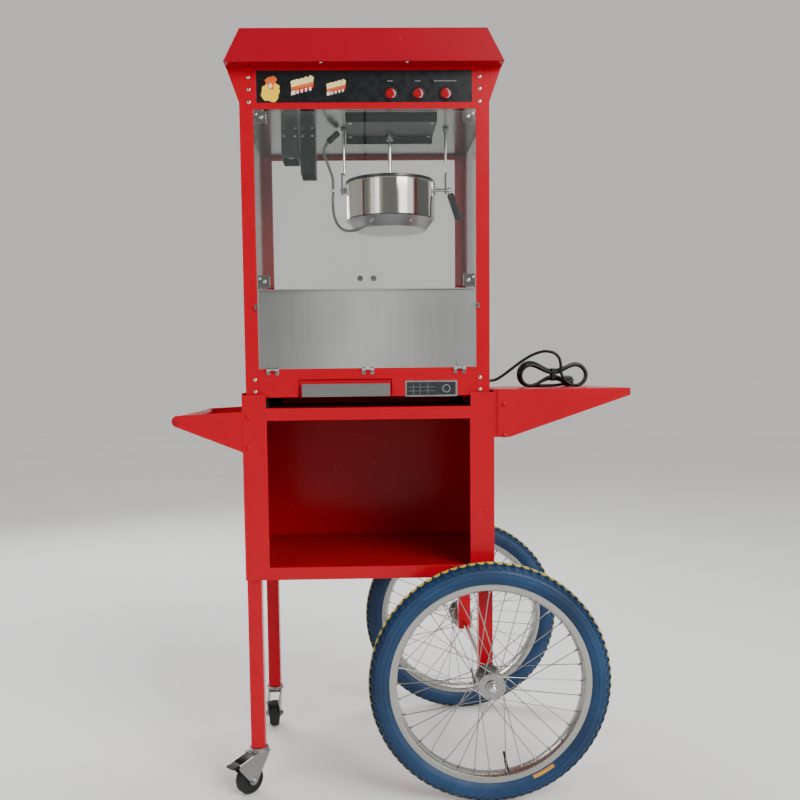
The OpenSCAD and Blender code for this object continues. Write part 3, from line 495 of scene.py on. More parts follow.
def hank_points(push):
    """The folded part: from the arch's end round the turns to the last left fold."""
    out = []
    entry_r = HANK_RIGHT - ARCH[-1][0]
    for k in range(9):
        a = pi * (k / 8) / 2
        out.append(Vector((HANK_RIGHT - entry_r * cos(a), HANK_FRONT,
                           RUN_LOW + entry_r - entry_r * sin(a))))
    for n in range(1, round((len(LAPS) - 1 + FOLD_2) * LAP_STEPS) + 1):
        lap, step = divmod(n, LAP_STEPS)
        u = step / LAP_STEPS
        r_right, r_left, over, under, push_r, push_l = LAPS[lap]
        x_r, x_l = HANK_RIGHT + push * push_r, HANK_LEFT - push * push_l
        t = lap + u
        y = HANK_FRONT + FIRST_LAY * ease(min(t, FOLD_1) / FOLD_1) + LAY * max(0, t - FOLD_1)
        if u < FOLD_1 or RUN_1 <= u <= FOLD_2 + 1e-9:
            x, r, a = x_r, r_right, pi * u / FOLD_1 - pi / 2
            if u >= FOLD_1:
                x, r, a = x_l, r_left, pi / 2 + pi * (u - RUN_1) / (FOLD_2 - RUN_1)
            out.append(Vector((x + r * cos(a), y, RUN_LOW + r * (1 + sin(a)))))
            continue
        if u < RUN_1:
            s = (u - FOLD_1) / (RUN_1 - FOLD_1)
            x = x_r + (x_l - x_r) * s
            z, aim = RUN_LOW + 2 * (r_right + (r_left - r_right) * ease(s)), TIE_Z + over
        else:
            s = (u - FOLD_2) / (1 - FOLD_2)
            x_r = HANK_RIGHT + push * LAPS[lap + 1][4]
            x = x_l + (x_r - x_l) * s
            z, aim = RUN_LOW, TIE_Z + under
        inside = 1 - abs(x - TIE_X) / (x_r - TIE_X if x > TIE_X else TIE_X - x_l)
        out.append(Vector((x, y, z + (aim - z) * (0.5 - 0.5 * cos(pi * inside)))))
    return out


def tail_points(start):
    """Under the tie along the tray, then round to the plug, rising to its middle."""
    y1 = start.y + LAY * 0.27
    r = PLUG_Y - y1 - 0.4
    x1 = PLUG_X - r
    flat = [(start.x + (x1 - start.x) * k / 10, start.y + (y1 - start.y) * ease(k / 10))
            for k in range(11)]
    flat += [(x1 + r * sin(pi * k / 24), y1 + r * (1 - cos(pi * k / 24)))
             for k in range(1, 13)] + [(PLUG_X, PLUG_Y)]
    run = [0.0]
    for a, b in zip(flat, flat[1:]):
        run.append(run[-1] + dist(a, b))
    out = []
    for (x, y), gone in zip(flat, run):
        up = ease(max(0.0, 1 - (run[-1] - gone) / TAIL_RISE))
        out.append(Vector((x, y, RUN_LOW + (PLUG_Z - RUN_LOW) * up)))
    return out[1:]


def full_route(push):
    hank = hank_points(push)
    return curve_through(ARCH, 4)[:-1] + hank + tail_points(hank[-1])


def solve_push():
    """How far the folds spread so that the whole lead has its stated length."""
    lo, hi = 0.0, 3.0
    for _ in range(30):
        mid = (lo + hi) / 2
        if length_of(full_route(mid)) < CORD_LENGTH:
            lo = mid
        else:
            hi = mid
    return lo


ROUTE = full_route(solve_push())


def ribs(count, start, pitch, radius, widen, step, heights):
    """Profile points of moulded rings: each steps out (or in) between three heights."""
    out = []
    for k in range(count):
        h, r = start + k * pitch, radius + k * widen
        out += [(r, h), (r + step, h + heights[0]), (r + step, h + heights[1]),
                (r, h + heights[2])]
    return out


def rounded(a0, a1, b0, b1, r, steps=6):
    """A rectangle with round corners, anticlockwise."""
    out = []
    for cx, cy, start in ((a1 - r, b1 - r, 0), (a0 + r, b1 - r, 90), (a0 + r, b0 + r, 180),
                          (a1 - r, b0 + r, 270)):
        for k in range(steps + 1):
            a = radians(start + 90 * k / steps)
            out.append((cx + r * cos(a), cy + r * sin(a)))
    return out


def make_plug():
    plug = Shape()
    profile = [(0, 0), (4.6, 0)] + ribs(6, 2, 3.4, 4.8, 0.35, 0.9, (0.5, 1.7, 2.2))
    profile += [(7.2, 22.5), (10, 25), (12.2, 29), (13, 34), (13, 40), (12.2, 42), (12.6, 45),
                (12.6, 54), (13, 57), (12.2, 58), (0, 58)]
    plug.lathe(profile, (PLUG_X, PLUG_Y, PLUG_Z), BACK, 32)
    for x in (PLUG_X - 6, PLUG_X + 6):
        plug.lathe([(0, 0), (2.4, 0), (2.4, 17.6), (1.6, 19), (0, 19)],
                   (x, PLUG_Y + 58, PLUG_Z), BACK, 16, 1)
    return plug.make("mains_plug", "root", ["black", "brass"], "lead_black", ["plug"])


def make_gland():
    gland = Shape()
    lo, hi = box_mm("cord_gland")
    at, out = (lo[0], 0, (lo[2] + hi[2]) / 2), (1, 0, 0)
    gland.lathe([(0, 0), (11, 0), (11, 4), (10, 5), (0, 5)], at, out, 6)
    profile = [(0, 4), (8.4, 4), (8.4, 6)] + ribs(6, 7, 3.6, 7.4, -0.42, 0.7, (0.4, 1.8, 2.2))
    gland.lathe(profile + [(4.6, 29), (4.3, 30), (0, 30)], at, out, 24)
    return gland.make("lead_gland", "root", ["black"], "lead_black", ["cord_gland"])


def make_tie():
    """A band round the strands that pass near the hank's middle."""
    tie = Shape()
    strands = [p for p in ROUTE if abs(p.x - TIE_X) < 8 and abs(p.z - TIE_Z) < 16]
    y0, y1 = (min(p.y for p in strands) - CORD_R, max(p.y for p in strands) + CORD_R)
    z0, z1 = (min(p.z for p in strands) - CORD_R, max(p.z for p in strands) + CORD_R)
    outer = rounded(y0 - 1.4, y1 + 1.4, z0 - 1.4, z1 + 1.4, 6)
    inner = rounded(y0 - 0.1, y1 + 0.1, z0 - 0.1, z1 + 0.1, 5)
    n = len(outer)
    verts = [(TIE_X + dx, a, b) for dx, ring in ((-4, outer), (4, outer), (4, inner), (-4, inner))
             for a, b in ring]
    faces = [(r * n + k, r * n + (k + 1) % n, ((r + 1) % 4) * n + (k + 1) % n,
              ((r + 1) % 4) * n + k) for r in range(4) for k in range(n)]
    tie.add(verts, faces)
    return tie.make("hank_tie", "root", ["black"], "lead_black", bevel=0.3)


def make_lead():
    curve = bpy.data.curves.new("mains_lead", "CURVE")
    curve.dimensions = "3D"
    curve.bevel_depth = CORD_R * MM
    curve.bevel_resolution = 3
    curve.use_fill_caps = True
    spline = curve.splines.new("POLY")
    spline.points.add(len(ROUTE) - 1)
    for p, q in zip(spline.points, ROUTE):
        p.co = (*pt(*q), 1)
    spline.use_smooth = True
    curve.materials.append(M["pvc"])
    lead = bpy.data.objects.new("mains_lead", curve)
    link(lead)
    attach(lead, "root")
    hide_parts("power_cord", "cord_hank")
    make_plug()
    make_gland()
    make_tie()


make_lead()


# ---------- kettle leads ----------

# From the grip to the ferrule on the tilting axis, and from there round to the kettle's base.
UPPER = [(x, -50, z) for x, z in (
    (-80, 1400), (-85, 1393.8), (-88.1, 1386.4), (-88.9, 1378.5), (-87.3, 1370.7),
    (-82.3, 1357), (-77.4, 1343.4), (-72.4, 1329.7), (-70.6, 1322.9), (-70, 1316),
    (-70, 1308), (-70, 1300))]
LOWER = [(-70, -50, 1291), (-71, -52, 1270), (-69, -60, 1244), (-61, -76, 1219),
         (-46, -96, 1203), (-27, -112, 1199), (-9, -121, 1204), (6, -124, 1213),
         (19, -122, 1222)]
LEAD_R = 3.2


def hanging_lead(name, body, node, points, rider):
    """A grey lead through points. rider, the piece that sits on it, is not used."""
    line = curve_through(points, 5)
    tube = Shape()
    tube.tube(line, LEAD_R, 12)
    piece = tube.make(name, body, ["grey_sleeve"], "kettle_lead", [node])


def make_kettle_leads():
    grip = Shape()
    start = Vector((-57, -50, 1421))
    along = Vector(UPPER[0]) - start
    long = along.length
    profile = [(0, 0), (6.4, 0), (7, 1.5)] + ribs(4, 4, 4, 7, 0, -0.8, (0.6, 1.6, 2.2))
    profile += [(7, long - 4), (5.4, long - 1), (4, long), (0, long)]
    grip.lathe(profile, start, along, 24)
    ball = Shape()
    ball.lathe([(0, -4.6), (2.6, -3.8), (4.6, -1.5), (4.6, 1.5), (2.6, 3.8), (0, 4.6)],
               (-70, -50, 1295), UP, 20)
    hanging_lead("kettle_lead_top", "root", "kettle_lead_upper", UPPER,
                 grip.make("kettle_lead_grip", "root", ["black"], "grip_black"))
    hanging_lead("kettle_lead_loop", "kettle", "kettle_lead_lower", LOWER,
                 ball.make("kettle_lead_ferrule", "kettle", ["chrome"], "fittings"))


make_kettle_leads()


# ---------- CAD nodes: finish and softened edges ----------

# Material, width in mm to which sharp edges are rounded, and the nodes that take them.
FINISH = [
    ("red_roof_painted_shade", 1.0, "roof"),
    ("red", 0.4, "crumb_drawer"),
    ("red", 0.5, "header_housing corner_posts base_housing cart_panels"),
    ("red", 0.6, "cart_front_frame push_handle side_tray"),
    ("red", 0.8, "cart_legs"),
    # The cabinet's inside takes a darker copy of the red: painted shade.
    ("red_painted_shade", 0, "cart_shelves"),
    ("ceiling", 0, "ceiling_plate"),
    ("steel_x", 0.3, "sifting_floor"),
    ("steel_v", 0.6, "steel_door"),
    ("pull", 0.4, "drawer_pull"),
    ("chrome", 0.3, "door_fittings stirrer"),
    ("chrome", 0.4, "kettle_hanger dump_lever"),
    ("chrome", 0.5, "axle"),
    ("chrome", 0.6, "door_hardware_left door_hardware_right"),
    ("glass", 0, "fixed_glass glass_door_left glass_door_right"),
    ("panel", 0.3, "control_panel"),
    ("dark_sheet", 0.4, "exhaust_duct"),
    ("dark_sheet", 0.5, "stir_motor"),
    ("grey_box", 0.4, "lamp_housing"),
    ("bulb", 0, "lamp_bulb"),
    ("zinc", 0.4, "motor_coupler"),
    ("zinc", 0.5, "front_caster_fork rear_caster_fork"),
    ("spun", 0.4, "kettle_pot"),
    ("base_sheet", 0.5, "kettle_base"),
    ("kettle_dark", 0.3, "kettle_lid_bar lid_front lid_rear"),
    ("rim", 0.4, "front_rim rear_rim"),
    ("spoke", 0, "front_hub rear_hub"),
    ("rubber", 0, "front_caster_wheel rear_caster_wheel"),
    ("rubber", 1.5, "machine_feet"),
    ("black", 0.8, "front_caster_brake rear_caster_brake"),
]


def finish_node(obj, material, width):
    data = obj.data
    data.materials.clear()
    data.materials.append(M[material])
    data.polygons.foreach_set("material_index", [0] * len(data.polygons))
    if width:
        for attribute in ("custom_normal", "sharp_edge", "sharp_face"):
            if attribute in data.attributes:
                data.attributes.remove(data.attributes[attribute])
        data.polygons.foreach_set("use_smooth", [True] * len(data.polygons))
        soften(obj, width)


for material, width, names in FINISH:
    for node_name in names.split():
        finish_node(NODES[node_name], material, width)


# ---------- header: decals, legends, switches ----------

PANEL_Y = box_mm("corner_posts")[0][1]
SWITCH_Z = 1457
SWITCHES = {"rocker_stir": 53, "rocker_heat": 109, "rocker_lamp": 165}


def blob(cx, cz, r, n=12, wave=0.12, seed=1):
    rng = random.Random(seed)
    phase = rng.uniform(0, 6.28)
    return [(cx + r * (1 + wave * sin(3 * a + phase)) * cos(a),
             cz + r * (1 + wave * cos(2 * a + phase)) * sin(a))
            for a in (2 * pi * k / n for k in range(n))]


def quad(x0, z0, w, h, lean):
    """A box outline that leans up to the right."""
    return [(x0, z0), (x0 + w, z0 + lean), (x0 + w, z0 + h + lean), (x0, z0 + h)]


def make_decals():
    y = PANEL_Y
    mats = ["yellow", "cream", "orange", "ink_red", "white"]
    cluster = Shape()
    for i, (x, z, r, mat) in enumerate([
            (-196, 1456, 12, 0), (-186, 1452, 11, 0), (-180, 1462, 9, 0), (-191, 1468, 11, 0),
            (-200, 1466, 8, 0), (-186, 1476, 9, 2), (-192, 1484, 8, 2), (-183, 1487, 6, 2),
            (-178, 1472, 6, 0), (-190, 1474, 4, 4)]):
        cluster.plate(blob(x, z, r, 16, 0.14, i), y - 0.22 - 0.02 * i, y + 0.2, mat)
    cluster.make("decal_kernels", "root", mats, "panel_black")
    for name, x, z, k in (("decal_box_a", -148, 1453, 1.0), ("decal_box_b", -76, 1452, 0.84)):
        art = Shape()
        w, h, lean = 45 * k, 14 * k, 11 * k
        side = w * 0.18
        for x0, z0, wide, tall, rise, proud, mat in (
                (x, z + 2, side, 0.6, lean * 0.18, 0.2, 4),
                (x + side, z + 6 * k, w * 0.82, 0.55, lean, 0.22, 3),
                (x, z + 12 * k, w, 0.62, lean, 0.24, 2), (x, z + 18 * k, w, 0.62, lean, 0.26, 1)):
            art.plate(quad(x0, z0, wide, h * tall, rise), y - proud, y + 0.2, mat)
        for j in range(5):
            cx = x + w * (0.1 + 0.2 * j)
            art.plate(blob(cx, z + 26 * k + lean * (0.1 + 0.2 * j), 5.2 * k, 12, 0.15, j),
                      y - 0.28 - 0.01 * j, y + 0.2, 1)
        for j in range(4):
            art.plate(quad(x + w * (0.24 + 0.19 * j), z + 2.5 * k + lean * (0.2 + 0.19 * j),
                           w * 0.09, h * 0.5, lean * 0.09), y - 0.3, y + 0.2, 4)
        art.make(name, "root", mats, "panel_black")
    bars = Shape()
    for x, w in zip(SWITCHES.values(), (12, 12, 46)):
        n = max(2, int(w / 5))
        for j in range(n):
            x0 = x - w / 2 + j * w / n
            bars.block((x0, y - 0.15, 1481.5), (x0 + w / n - 1.2, y + 0.2, 1483.6))
    bars.make("legend_bars", "root", ["legend"], "panel_black")


CAP_R, CAP_RINGS, CAP_SIDES, CAP_TILT = 10.2, 6, 40, radians(-7)
CAP_BACK = -3.8


def switch_cap(x):
    """A round rocker cap: dished across its tilting axis, domed at the rim, and tilted."""
    def place(px, pz, depth):
        y = -depth * cos(CAP_TILT) - pz * sin(CAP_TILT)
        z = pz * cos(CAP_TILT) - depth * sin(CAP_TILT)
        return (x + px, PANEL_Y + y, SWITCH_Z + z)

    verts, faces = [place(0, 0, 2.6)], []
    for i in list(range(1, CAP_RINGS + 1)) + [None]:
        r = CAP_R if i is None else CAP_R * i / CAP_RINGS
        for k in range(CAP_SIDES):
            a = 2 * pi * k / CAP_SIDES
            px, pz = r * cos(a), r * sin(a)
            lift = CAP_BACK
            if i:
                lift = 2.6 + 1.5 * (abs(pz) / CAP_R) ** 1.6 - 0.7 * (i / CAP_RINGS) ** 6
            verts.append(place(px, pz, lift))
    verts.append(place(0, 0, CAP_BACK))
    last = 1 + CAP_RINGS * CAP_SIDES
    for k in range(CAP_SIDES):
        n = (k + 1) % CAP_SIDES
        faces.append((0, 1 + k, 1 + n))
        for i in range(CAP_RINGS):
            a, b = 1 + i * CAP_SIDES, 1 + (i + 1) * CAP_SIDES
            faces.append((a + k, b + k, b + n, a + n))
        faces.append((len(verts) - 1, last + n, last + k))
    cap = Shape()
    cap.add(verts, faces)
    return cap


def make_switches():
    for body, x in SWITCHES.items():
        switch_cap(x).make(body + "_cap", body, ["switch"], "switch_red", [body], sharp=50)
    bezel = Shape()
    for x in SWITCHES.values():
        bezel.lathe([(11.0, 0.6), (13.4, 0.6), (13.9, 1.4), (13.9, 2.6), (13.2, 3.3), (12.0, 3.5),
                     (11.1, 2.9)], (x, PANEL_Y, SWITCH_Z), FRONT, 40, 0, True)
    bezel.make("switch_bezels", "root", ["black"], "panel_black")


make_decals()
make_switches()


# ---------- screws ----------

POST_X = 234
REAR_Y = box_mm("corner_posts")[1][1]


def screw(shape, at, out, r, h, steel=0, dark=1):
    """A pan head with a cross in the dark material: painted shade in place of a recessed cross."""
    shape.lathe([(0, 0), (r, 0), (r, h * 0.35), (r * 0.9, h * 0.7), (r * 0.66, h * 0.93),
                 (0, h)], at, out, 20, steel)
    out = Vector(out)
    u = out.orthogonal().normalized()
    w = out.cross(u)
    half, thin, deep = r * 0.5, r * 0.11, h * 0.24
    # The cross is a dark block, sunk into the head and just proud of it: painted shade where a
    # real recess would be.
    for a, b in ((u, w), (w, u)):
        c = Vector(at) + out * h * 0.8
        shape.add([c + a * sa * half + b * sb * thin + out * so * deep
                   for so in (-1, 1) for sb in (-1, 1) for sa in (-1, 1)], BOX_FACES, dark)


def bolt(shape, at, out, r):
    """A dome-headed bolt on a washer."""
    shape.lathe([(0, 0), (r * 1.5, 0), (r * 1.5, 0.9), (r * 1.05, 1.0), (r, 1.6), (r * 0.8, 2.9),
                 (r * 0.4, 3.7), (0, 3.9)], at, out, 24)


def screws_at(shape, xs, ys, zs, out, r, h):
    for x in xs:
        for y in ys:
            for z in zs:
                screw(shape, (x, y, z), out, r, h)


def make_screws():
    heads = Shape()
    screws_at(heads, (-POST_X, POST_X), [PANEL_Y], (1442, 1467, 1491, 857, 882), FRONT, 3.6, 1.6)
    lo, hi = box_mm("push_handle")
    for y, out in ((lo[1], -1), (hi[1], 1)):
        screw(heads, (-398, y, 798), (0, out, 0), 6, 4, 2, 1)
    heads.make("panel_screws", "root", ["chrome", "black", "red"], "fittings", ["screws"])


make_screws()


# ---------- roof, header and base details ----------

def make_rating_plate():
    """A framed plate with plain ruled lines and a ring, and no lettering."""
    plate = Shape()
    y = PANEL_Y
    plate.plate(rounded(77, 186, 843.5, 877, 1.2, 2), y - 0.8, y + 0.5, 0)
    plate.plate(rounded(80.5, 182.5, 847, 873.5, 0.8, 2), y - 1.0, y - 0.1, 1)
    for x in (94, 108, 124):
        plate.block((x, y - 1.15, 849), (x + 0.8, y - 0.9, 871.5), 2)
    for z in (855, 863):
        plate.block((82, y - 1.15, z), (140, y - 0.9, z + 0.7), 2)
    plate.plate(blob(163, 860, 8.5, 24, 0.0), y - 1.15, y - 0.9, 2)
    plate.plate(blob(163, 860, 6.6, 24, 0.0), y - 1.2, y - 0.9, 1)
    plate.make("rating_plate", "root", ["zinc", "plate", "legend"], "panel_black")


def make_casing_details():
    lo, hi = box_mm("roof")
    half, z = (hi[0] - lo[0]) / 2 - 1.4, lo[2] + 1
    hem = Shape()
    for x in (-half, half):
        hem.tube([(x, lo[1] + 2, z), (x, hi[1] - 1, z)], 1.5, 10)
    hem.tube([(-half, lo[1] + 1.5, z), (half, lo[1] + 1.5, z)], 1.5, 10)
    hem.make("roof_hem", "root", ["red_roof_painted_shade"], "red_paint")
    small = Shape()
    screws_at(small, (-86, 86), [lo[1] + 9], [lo[2]], DOWN, 3.4, 1.8)
    screws_at(small, (-POST_X, POST_X), [REAR_Y], (857, 882, 960, 1180, 1442, 1491), BACK,
              3.4, 1.5)
    screws_at(small, (-150, -50, 50, 150), [REAR_Y], (1492, 1440), BACK, 3.0, 1.3)
    small.make("casing_screws", "root", ["chrome", "black"], "fittings")
    rail = Shape()
    under = box_mm("ceiling_plate")[0][2]
    rail.block((-232, 196, under - 9), (232, 203, under + 0.5))
    rail.make("rear_header_rail", "root", ["red"], "red_paint", bevel=0.8)
    make_rating_plate()


make_casing_details()


# ---------- doors ----------

CLAMP_FACE, KNOB_Z = -201.5, 1087


def make_door_details():
    for side, name in ((-1, "left"), (1, "right")):
        clamp = Shape()
        lo, hi = box_mm("door_hardware_" + name)
        for z in (lo[2] + 15, hi[2] - 15):
            screw(clamp, (side * 210, CLAMP_FACE, z), FRONT, 3.4, 1.4)
            screw(clamp, (side * 220, CLAMP_FACE, z + 6), FRONT, 2.4, 1.1)
        clamp.make("clamp_screws_" + name, "glass_" + name, ["chrome", "black"], "fittings")
        knob = Shape()
        knob.lathe([(0, 0), (2.8, 0), (2.8, 5.6), (5.6, 6.4), (6.2, 8), (6.2, 12), (5.4, 13.8),
                    (0, 14.4)], (side * 14, -199, KNOB_Z), FRONT, 28)
        knob.lathe([(0, 0), (4.4, 0), (4.4, 1.0), (3.2, 2.0), (0, 2.2)],
                   (side * 14, -195, KNOB_Z), BACK, 24)
        knob.make("door_knob_" + name, "glass_" + name, ["chrome"], "fittings")
    door = Shape()
    lo, hi = box_mm("steel_door")
    y, z = lo[1] + 10.7, hi[2] - 0.6
    door.tube([(lo[0] + 1, y, z), (hi[0] - 1, y, z)], 1.3, 10)
    for x in (-197, 0, 191):
        screws_at(door, (x - 3, x + 3), [-203], [911.5], FRONT, 1.5, 0.8)
    door.make("drop_door_edge", "steel_door", ["steel_x", "black"], "stainless")


make_door_details()


# ---------- kettle ----------

KETTLE_X, KETTLE_Y = 56, -50


def make_kettle_details():
    rim = Shape()
    centre = (KETTLE_X, KETTLE_Y, 0)
    rim.lathe([(96.4, 1305.4), (98.2, 1305.2), (99.2, 1306.6), (99.4, 1308.4), (98.8, 1310.4),
               (97.4, 1311.2), (96.2, 1310.6)], centre, UP, 96, 0, True)
    rim.lathe([(96.2, 1228.2), (97.6, 1228.0), (98.0, 1229.2), (97.4, 1230.6), (96.4, 1230.8)],
              centre, UP, 96, 1, True)
    for k in range(3):
        a = radians(-62 + 118 * k)
        at = (KETTLE_X + 85.5 * cos(a), KETTLE_Y + 85.5 * sin(a), 1217)
        screw(rim, at, (cos(a), sin(a), -0.4), 3.0, 1.6, 2, 3)
    rim.make("kettle_rim", "kettle", ["kettle_dark", "kettle_dark", "chrome", "black"],
             "stainless")
    plates = Shape()
    plates.block((153.2, -58, 1287), (157.6, -42, 1303))
    plates.block((-47, -57, 1288), (-42.4, -43, 1302))
    plates.make("trunnion_plates", "kettle", ["zinc"], "fittings", bevel=0.8)
    grip = Shape()
    along = Vector((0.32, 0, -0.95)).normalized()
    profile = [(0, 0), (6.4, 0), (7.4, 1.4), (8.2, 5)] + ribs(7, 10, 6, 8.4, 0, -0.8,
                                                              (1, 2.4, 3.4))
    profile += [(8.4, 55), (7.6, 58.6), (5.4, 60.6), (0, 61)]
    grip.lathe(profile, Vector((186, KETTLE_Y, 1295)) + along * 8, along, 28)
    grip.make("dump_grip_moulding", "kettle", ["black"], "grip_black", ["dump_grip"])
    gland = Shape()
    gland.lathe([(0, 0), (6.4, 0), (6.4, 6), (4.4, 10), (0, 10)], (15.5, -124.6, 1220.5),
                (-0.86, -0.43, -0.28), 6)
    gland.make("kettle_gland", "kettle", ["zinc"], "fittings")


make_kettle_details()


# ---------- under the ceiling ----------

LAMP_X, LAMP_Y = -165.5, 10


def make_ceiling_details():
    fixings = Shape()
    screws_at(fixings, (-30, 142), (-140, -32), [1416], DOWN, 4, 2.4)
    for x in (-178, -153, -136, -115):
        for y, out in ((-30, FRONT), (50, BACK)):
            screw(fixings, (x, y, 1420), out, 2.6, 1.2)
    fixings.make("ceiling_screws", "root", ["chrome", "black"], "fittings")
    lamp = Shape()
    thread = [(9.4 if k % 2 else 8.6, 1402 + 2 * k) for k in range(7)]
    lamp.lathe([(0, 1402)] + thread + [(0, 1414)], (LAMP_X, LAMP_Y, 0), UP, 24)
    lamp.tube([(LAMP_X + dx, LAMP_Y, z) for dx, z in ((-4, 1400), (-4, 1390), (0, 1387),
                                                      (4, 1390), (4, 1400))], 0.5, 8, 1)
    lamp.make("lamp_socket", "root", ["brass", "spoke"], "fittings")
    nuts = Shape()
    for x in (-45, 179):
        nuts.lathe([(0, -4), (5.6, -4), (5.6, 0), (0, 0)], (x, KETTLE_Y, 1428), UP, 6)
        nuts.lathe([(0, -5.4), (8, -5.4), (8, -4), (0, -4)], (x, KETTLE_Y, 1428), UP, 24)
    nuts.make("hanger_nuts", "root", ["zinc"], "fittings")


make_ceiling_details()


# ---------- cart ----------

# The big wheels' axle, the middle of each wheel's width, and the reach of the cart's sides.
WHEEL_X, WHEEL_Y, WHEEL_Z = 244, 266, 252.5
SIDE_Y = 209


def make_cart_details():
    bolts = Shape()
    for out in (-1, 1):
        for z in (742, 806):
            bolt(bolts, (-250, out * SIDE_Y, z), (0, out, 0), 4.6)
            bolt(bolts, (283, out * SIDE_Y, z + 20), (0, out, 0), 4.2)
    screws_at(bolts, (-247, 247), [SIDE_Y], (475, 810), BACK, 3.4, 1.5)
    # The screws' crosses here take the darker red copy: painted shade.
    bolts.make("cart_bolts", "root", ["red", "red_painted_shade"], "fittings")
    caps = Shape()
    for y in (-190, 190):
        caps.block((WHEEL_X - 13.4, y - 13.4, 237.6), (WHEEL_X + 13.4, y + 13.4, 239.7))
    caps.make("leg_caps", "root", ["black"], "brake_black", bevel=0.6)
    washers = Shape()
    for s in (-1, 1):
        washers.lathe([(6.2, 0), (12.5, 0), (12.5, 1.2), (6.2, 1.2)],
                      (WHEEL_X, s * 206.2, WHEEL_Z), (0, s, 0), 32, 0, True)
        dome = [(0, 10.5), (4.5, 9.6), (7.4, 7.2), (8.8, 3.6), (9.0, 0), (6.2, 0), (0, 0.1)]
        washers.lathe(dome, (WHEEL_X, s * 305, WHEEL_Z), (0, s, 0), 28)
    washers.make("axle_caps", "root", ["chrome"], "drive_steel")
    seams = Shape()
    half, low, high = 212.5, 487, 798
    for x in (-half, half):
        seams.tube([(x, -208.2, low), (x, -208.2, high)], 1.1, 8)
    for z in (low, high):
        seams.tube([(-half, -208.2, z), (half, -208.2, z)], 1.1, 8)
    seams.make("opening_hem", "root", ["red"], "red_paint")


make_cart_details()


# ---------- big wheels ----------

# The tyre's section: the radius of its middle round the axle, and its own radius.
RING_R, SECTION_R = 227, 25.5
CASE_R = SECTION_R - 0.8
TREAD_PITCHES = 84
SPOKES, SPOKE_END_R = 36, 186


def wheel_point(side, angle, radius, across):
    """A point of a big wheel: angle round the axle, radius, and offset outwards."""
    return (WHEEL_X + radius * cos(angle), side * (WHEEL_Y + across),
            WHEEL_Z + radius * sin(angle))


def sidewall(radius):
    """Half the tyre's width at a radius of the wheel."""
    return sqrt(CASE_R ** 2 - (radius - RING_R) ** 2)


def knob(tyre, side, pitch, a0, a1, share, mat, skew=0.0):
    """One tread block between two angles of the section, over its share of a pitch."""
    verts = []
    mid = (a0 + a1) / 2
    for r, shrink in ((SECTION_R - 5, 1.0), (SECTION_R, 0.86)):
        for a in (mid + (a0 - mid) * shrink, mid + (a1 - mid) * shrink):
            for k in (-1, 1):
                turn = pitch + k * share / 2 * shrink + skew * (a - mid)
                verts.append(wheel_point(side, 2 * pi * turn / TREAD_PITCHES,
                                         RING_R + r * cos(radians(a)),
                                         r * sin(radians(a))))
    tyre.add(verts, [(0, 1, 3, 2), (4, 6, 7, 5), (0, 4, 5, 1), (1, 5, 7, 3), (3, 7, 6, 2),
                     (2, 6, 4, 0)], mat)


def make_tyre(side, name):
    tyre = Shape()
    centre = (WHEEL_X, side * WHEEL_Y, WHEEL_Z)
    section = []
    for k in range(29):
        a = radians(-142 + 284 * k / 28)
        tread = max(0.0, 1 - (abs(degrees(a)) / 58) ** 6)
        r = CASE_R - 2.6 * tread
        section.append((RING_R + r * cos(a), r * sin(a)))
    bead = [(208.5, 9.4), (214, 12.8), (226, 19), (246, 8)]
    section += bead + [(r, -h) for r, h in reversed(bead)]
    tyre.lathe(section, centre, BACK, 120, 0, True)
    for groove in (222, 233):
        half = sidewall(groove)
        for s in (-1, 1):
            tyre.lathe([(groove - 0.8, s * (half - 0.3)), (groove, s * (half + 0.7)),
                        (groove + 0.8, s * (half - 0.3))], centre, BACK, 120, 0, True)
    for p in range(TREAD_PITCHES):
        knob(tyre, side, p, -9, 9, 0.9, 2)
        for s in (-1, 1):
            knob(tyre, side, p + 0.5, s * 14, s * 31, 0.5, 1, skew=s * 0.012)
            knob(tyre, side, p + 0.1 * s, s * 38, s * 60, 0.58, 1)
    tyre.make(name + "_tyre_tread", name + "_wheel", ["tyre", "knob", "tread_line"], "tyre_blue",
              [name + "_tyre"], sharp=30)


def make_wheel_trim(side, name):
    """Spoke nipples, hub caps, the rim's hooked edges and the valve."""
    trim = Shape()
    centre = Vector((WHEEL_X, side * WHEEL_Y, WHEEL_Z))
    for i in range(SPOKES):
        a = 2 * pi * i / SPOKES
        direction = Vector((cos(a), 0, sin(a)))
        at = centre + direction * SPOKE_END_R + Vector((0, 3 if i % 2 else -3, 0))
        trim.lathe([(0, 0), (1.6, 0), (2.0, 1), (2.0, 9), (0, 9)], at, direction, 8)
    for s in (-1, 1):
        trim.lathe([(6.3, 33.4), (12.6, 33.4), (13.2, 34.4), (12.6, 36.2), (6.3, 36.6)],
                   centre, (0, s, 0), 32, 0, True)
        trim.lathe([(193.5, 8.9), (195, 12), (197.4, 16.3), (199.4, 17.0), (212, 17.0),
                    (213.6, 16.4), (213.8, 14.2), (212.8, 14.4), (198, 14.4), (195.6, 8.9)],
                   centre, (0, s, 0), 120, 1, True)
    valve = radians(-79.2)
    trim.lathe([(0, 152), (2.2, 152), (2.6, 153), (2.6, 166), (2.1, 167), (2.1, 170), (3.2, 171),
                (3.2, 186), (4.2, 190), (4.6, 195), (0, 195)], centre,
               (cos(valve), 0, sin(valve)), 16, 2)
    trim.make(name + "_wheel_trim", name + "_wheel", ["spoke", "rim", "rubber"], "rim_silver")


